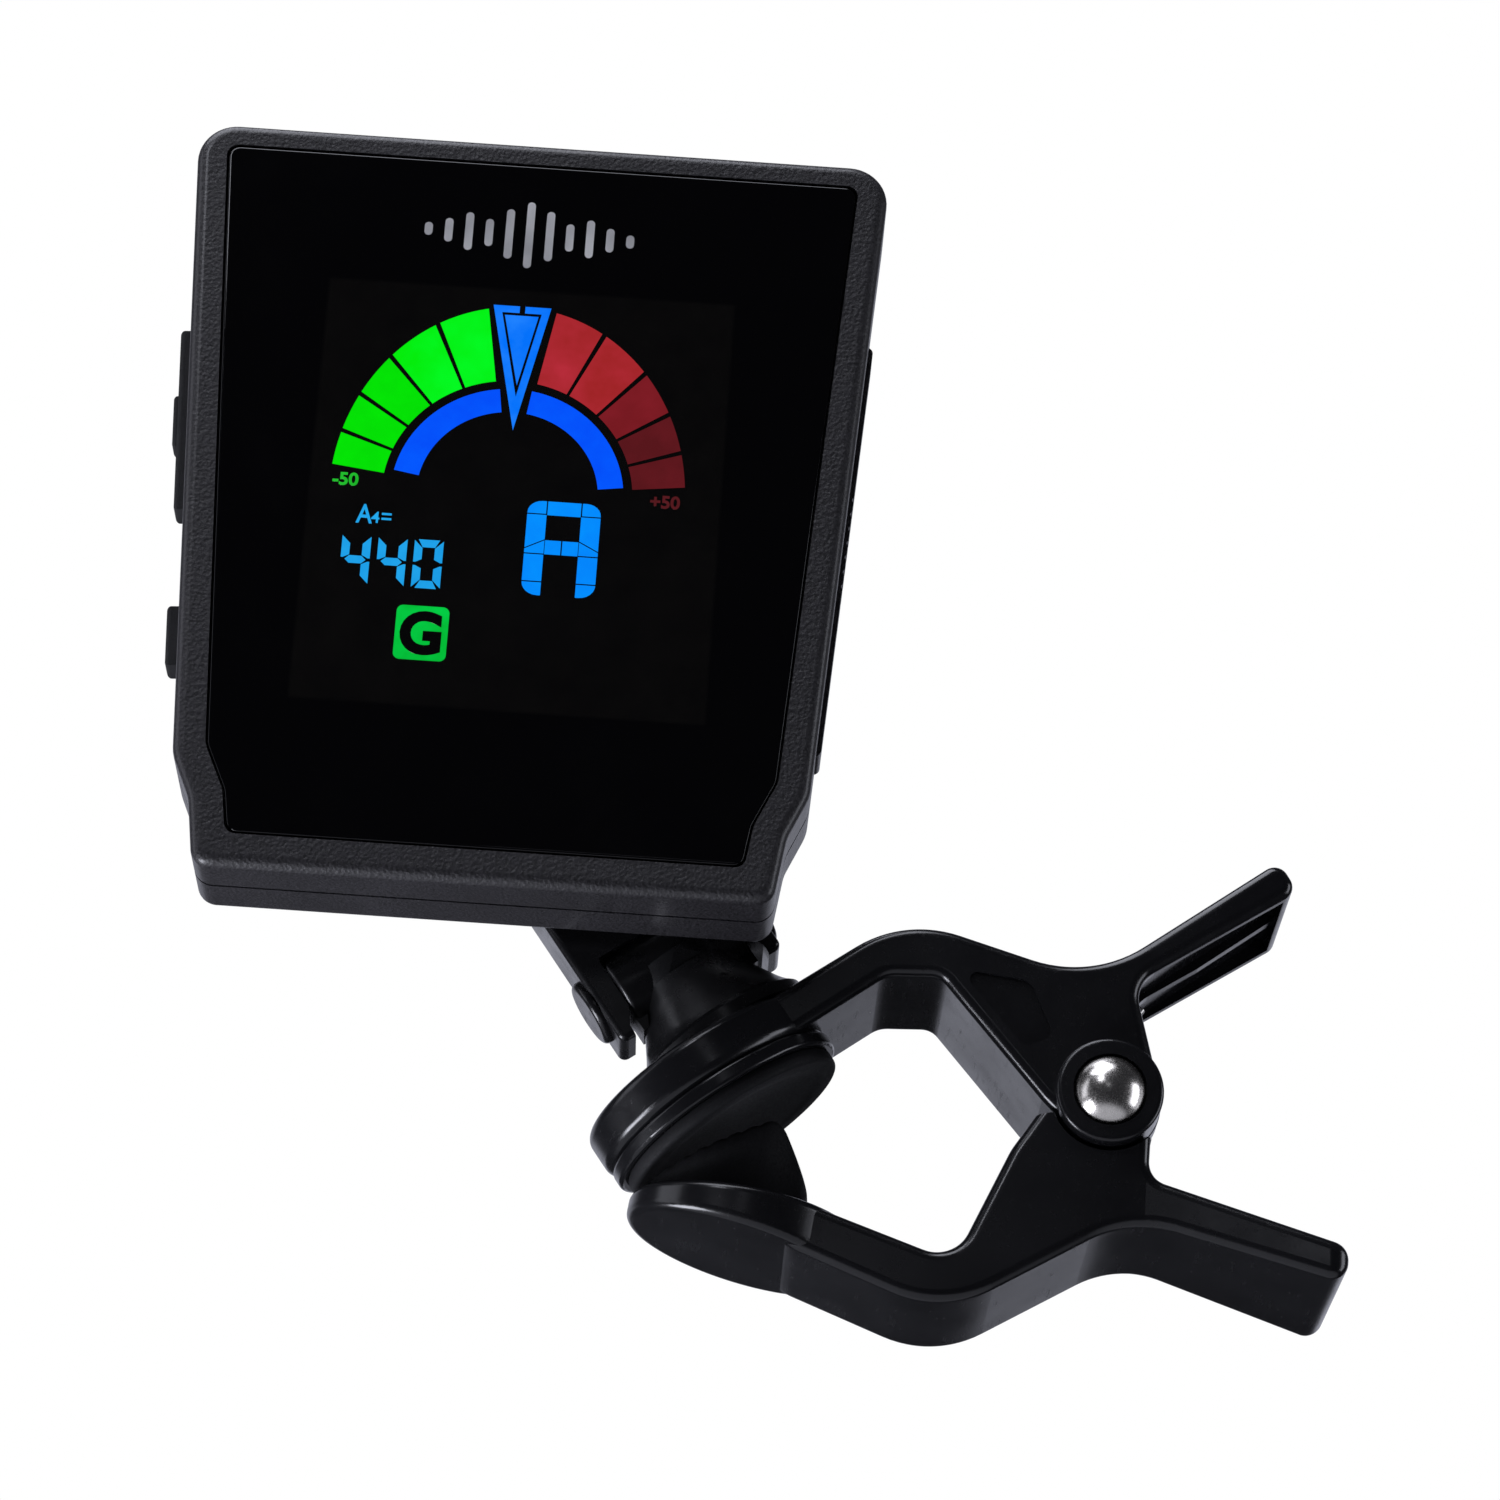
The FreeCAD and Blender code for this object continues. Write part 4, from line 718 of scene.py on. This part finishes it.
def smooth(piece):
    for face in piece.data.polygons:
        face.use_smooth = True
    with bpy.context.temp_override(object=piece, active_object=piece, selected_objects=[piece],
                                   selected_editable_objects=[piece]):
        bpy.ops.object.shade_auto_smooth(angle=SMOOTH_ANGLE)


DISH_WALL = ((0.86, 0.0), (0.82, 0.25), (0.78, 0.75), (0.74, 1.0))      # shares of radius and depth


def make_upper_pad(material):
    """Round pad with a shallow dish inside a soft rim."""
    axis = Vector(joints["base_swivel"]["axis"]).normalized()
    across = Vector((axis.z, 0.0, -axis.x))
    low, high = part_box("upper_pad")
    middle = (low + high) / 2
    (u0, u1), (w0, _) = spans("upper_pad", middle, (across, axis))
    middle = middle + across * (u0 + u1) / 2
    radius = (u1 - u0) / 2
    gap, chamfer, edge, dish = 0.02 * MM, 0.1 * MM, 0.35 * MM, 0.12 * MM
    top = spans("upper_pad_holder", middle, (axis,))[0][0] - gap
    profile = [(0.0, top), (radius - chamfer, top), (radius, top - chamfer)]
    for k in range(7):
        angle = math.radians(90 * k / 6)
        profile.append((radius - edge + edge * math.cos(angle), w0 + edge - edge * math.sin(angle)))
    for share, lift in DISH_WALL:
        profile.append((radius * share, w0 + dish * lift))
    profile.append((0.0, w0 + dish))
    mesh = lathe("upper_pad_rubber", profile, middle, axis)
    piece = finish_piece("upper_pad_rubber", mesh, material, "upper_clip")
    smooth(piece)
    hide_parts("upper_pad")


LOW_SLOPE = math.radians(-7.0)          # slope of the lower jaw's round end
GRIP_SLOPE = math.radians(26.5)
WEDGE_RISE = math.radians(26.5 + 7.0)   # grip face against the round end
WEDGE_FALL = math.radians(-60.5 + 7.0)  # the side of the wedge that faces the pivot
WEDGE_CREST = 3.9 * MM                  # from the grip face's middle to the crest, along +X
CREST_BLEND = 1.6 * MM
PAD_BASE = 1.22 * MM                    # from the CAD pad's lowest point to the rubber's underside
PAD_EDGE = 0.45 * MM                    # radius of the rounded rim
FIRST_RIB, LAST_RIB = 1.6 * MM, 1.2 * MM        # plain rubber left at the tip, and before the crest
RIB_PITCH, RIB_DEPTH = 1.15 * MM, 0.15 * MM
RIB_GROOVE = 0.22                       # half a groove's width, as a share of the pitch
RIB_FLANK = 1.6                         # above 1, the groove has a flat bottom
RIM_LEAST = 0.05 * MM                   # least thickness of the rubber, at its rim


def make_lower_pad(material):
    """Wedge pad with ribs across its grip face."""
    along = Vector((math.cos(LOW_SLOPE), 0.0, math.sin(LOW_SLOPE)))
    side = Vector((0.0, 1.0, 0.0))
    up = Vector((-along.z, 0.0, along.x))
    low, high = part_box("lower_pad")
    middle = (low + high) / 2
    (u0, _), (v0, v1), (w0, _) = spans("lower_pad", middle, (along, side, up))
    radius = (v1 - v0) / 2
    centre = middle + along * (u0 + radius)
    grip_at = -centre.dot(up)           # the grip face passes through the frame's origin
    origin_u = -centre.dot(along)
    crest_u = origin_u + WEDGE_CREST / math.cos(GRIP_SLOPE) * math.cos(WEDGE_RISE)
    crest_w = grip_at + (crest_u - origin_u) * math.tan(WEDGE_RISE)
    base_w = w0 + PAD_BASE

    def height(u, v):
        rise = grip_at + (u - origin_u) * math.tan(WEDGE_RISE)
        fall = crest_w + (u - crest_u) * math.tan(WEDGE_FALL)
        h = max(0.0, min(1.0, 0.5 + (fall - rise) / (2 * CREST_BLEND)))
        top = fall + (rise - fall) * h - CREST_BLEND * h * (1 - h)
        if FIRST_RIB - radius < u < crest_u - LAST_RIB:
            phase = (u / RIB_PITCH) % 1.0
            cut = max(0.0, 1.0 - abs(phase - 0.5) / RIB_GROOVE)
            top -= RIB_DEPTH * min(1.0, cut * RIB_FLANK)
        gone = max(0.0, math.hypot(u, v) - (radius - PAD_EDGE))
        return top - (PAD_EDGE - math.sqrt(max(0.0, PAD_EDGE ** 2 - gone ** 2)))

    steps_round, steps_out = 144, 64
    bm = bmesh.new()
    rings = [[bm.verts.new(centre + up * height(0.0, 0.0))]]
    for k in range(1, steps_out + 1):
        reach = radius * k / steps_out
        ring = []
        for i in range(steps_round):
            angle = 2 * math.pi * i / steps_round
            u, v = reach * math.cos(angle), reach * math.sin(angle)
            w = max(height(u, v), base_w + RIM_LEAST)
            ring.append(bm.verts.new(centre + along * u + side * v + up * w))
        rings.append(ring)
    foot = []
    for i in range(steps_round):
        angle = 2 * math.pi * i / steps_round
        foot.append(bm.verts.new(centre + along * radius * math.cos(angle) + side * radius * math.sin(angle)
                                 + up * base_w))
    rings.append(foot)
    rings.append([bm.verts.new(centre + up * base_w)])
    stitch(bm, rings)
    mesh = mesh_from("lower_pad_rubber", bm)
    piece = finish_piece("lower_pad_rubber", mesh, material, "lower_clip")
    smooth(piece)
    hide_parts("lower_pad")


# ======================= putting it together =======================

def finish_nodes(materials):
    """Gives every CAD node the finish of its slot."""
    for name, node in frame["nodes"].items():
        node.data.materials.clear()
        node.data.materials.append(materials[slot_of[name]])


def make_floor():
    low, high = cad_box
    bpy.ops.mesh.primitive_grid_add(x_subdivisions=8, y_subdivisions=8, size=FLOOR_SIZE)
    floor = bpy.context.active_object
    floor.name = "floor"
    floor.location = ((low.x + high.x) / 2, (low.y + high.y) / 2, low.z - FLOOR_DROP)
    floor.data.materials.append(floor_material())


make_studio()
finishes = slot_materials()
finish_nodes(finishes)
make_display()
make_upper_pad(finishes["pad_rubber"])
make_lower_pad(finishes["pad_rubber"])
make_floor()
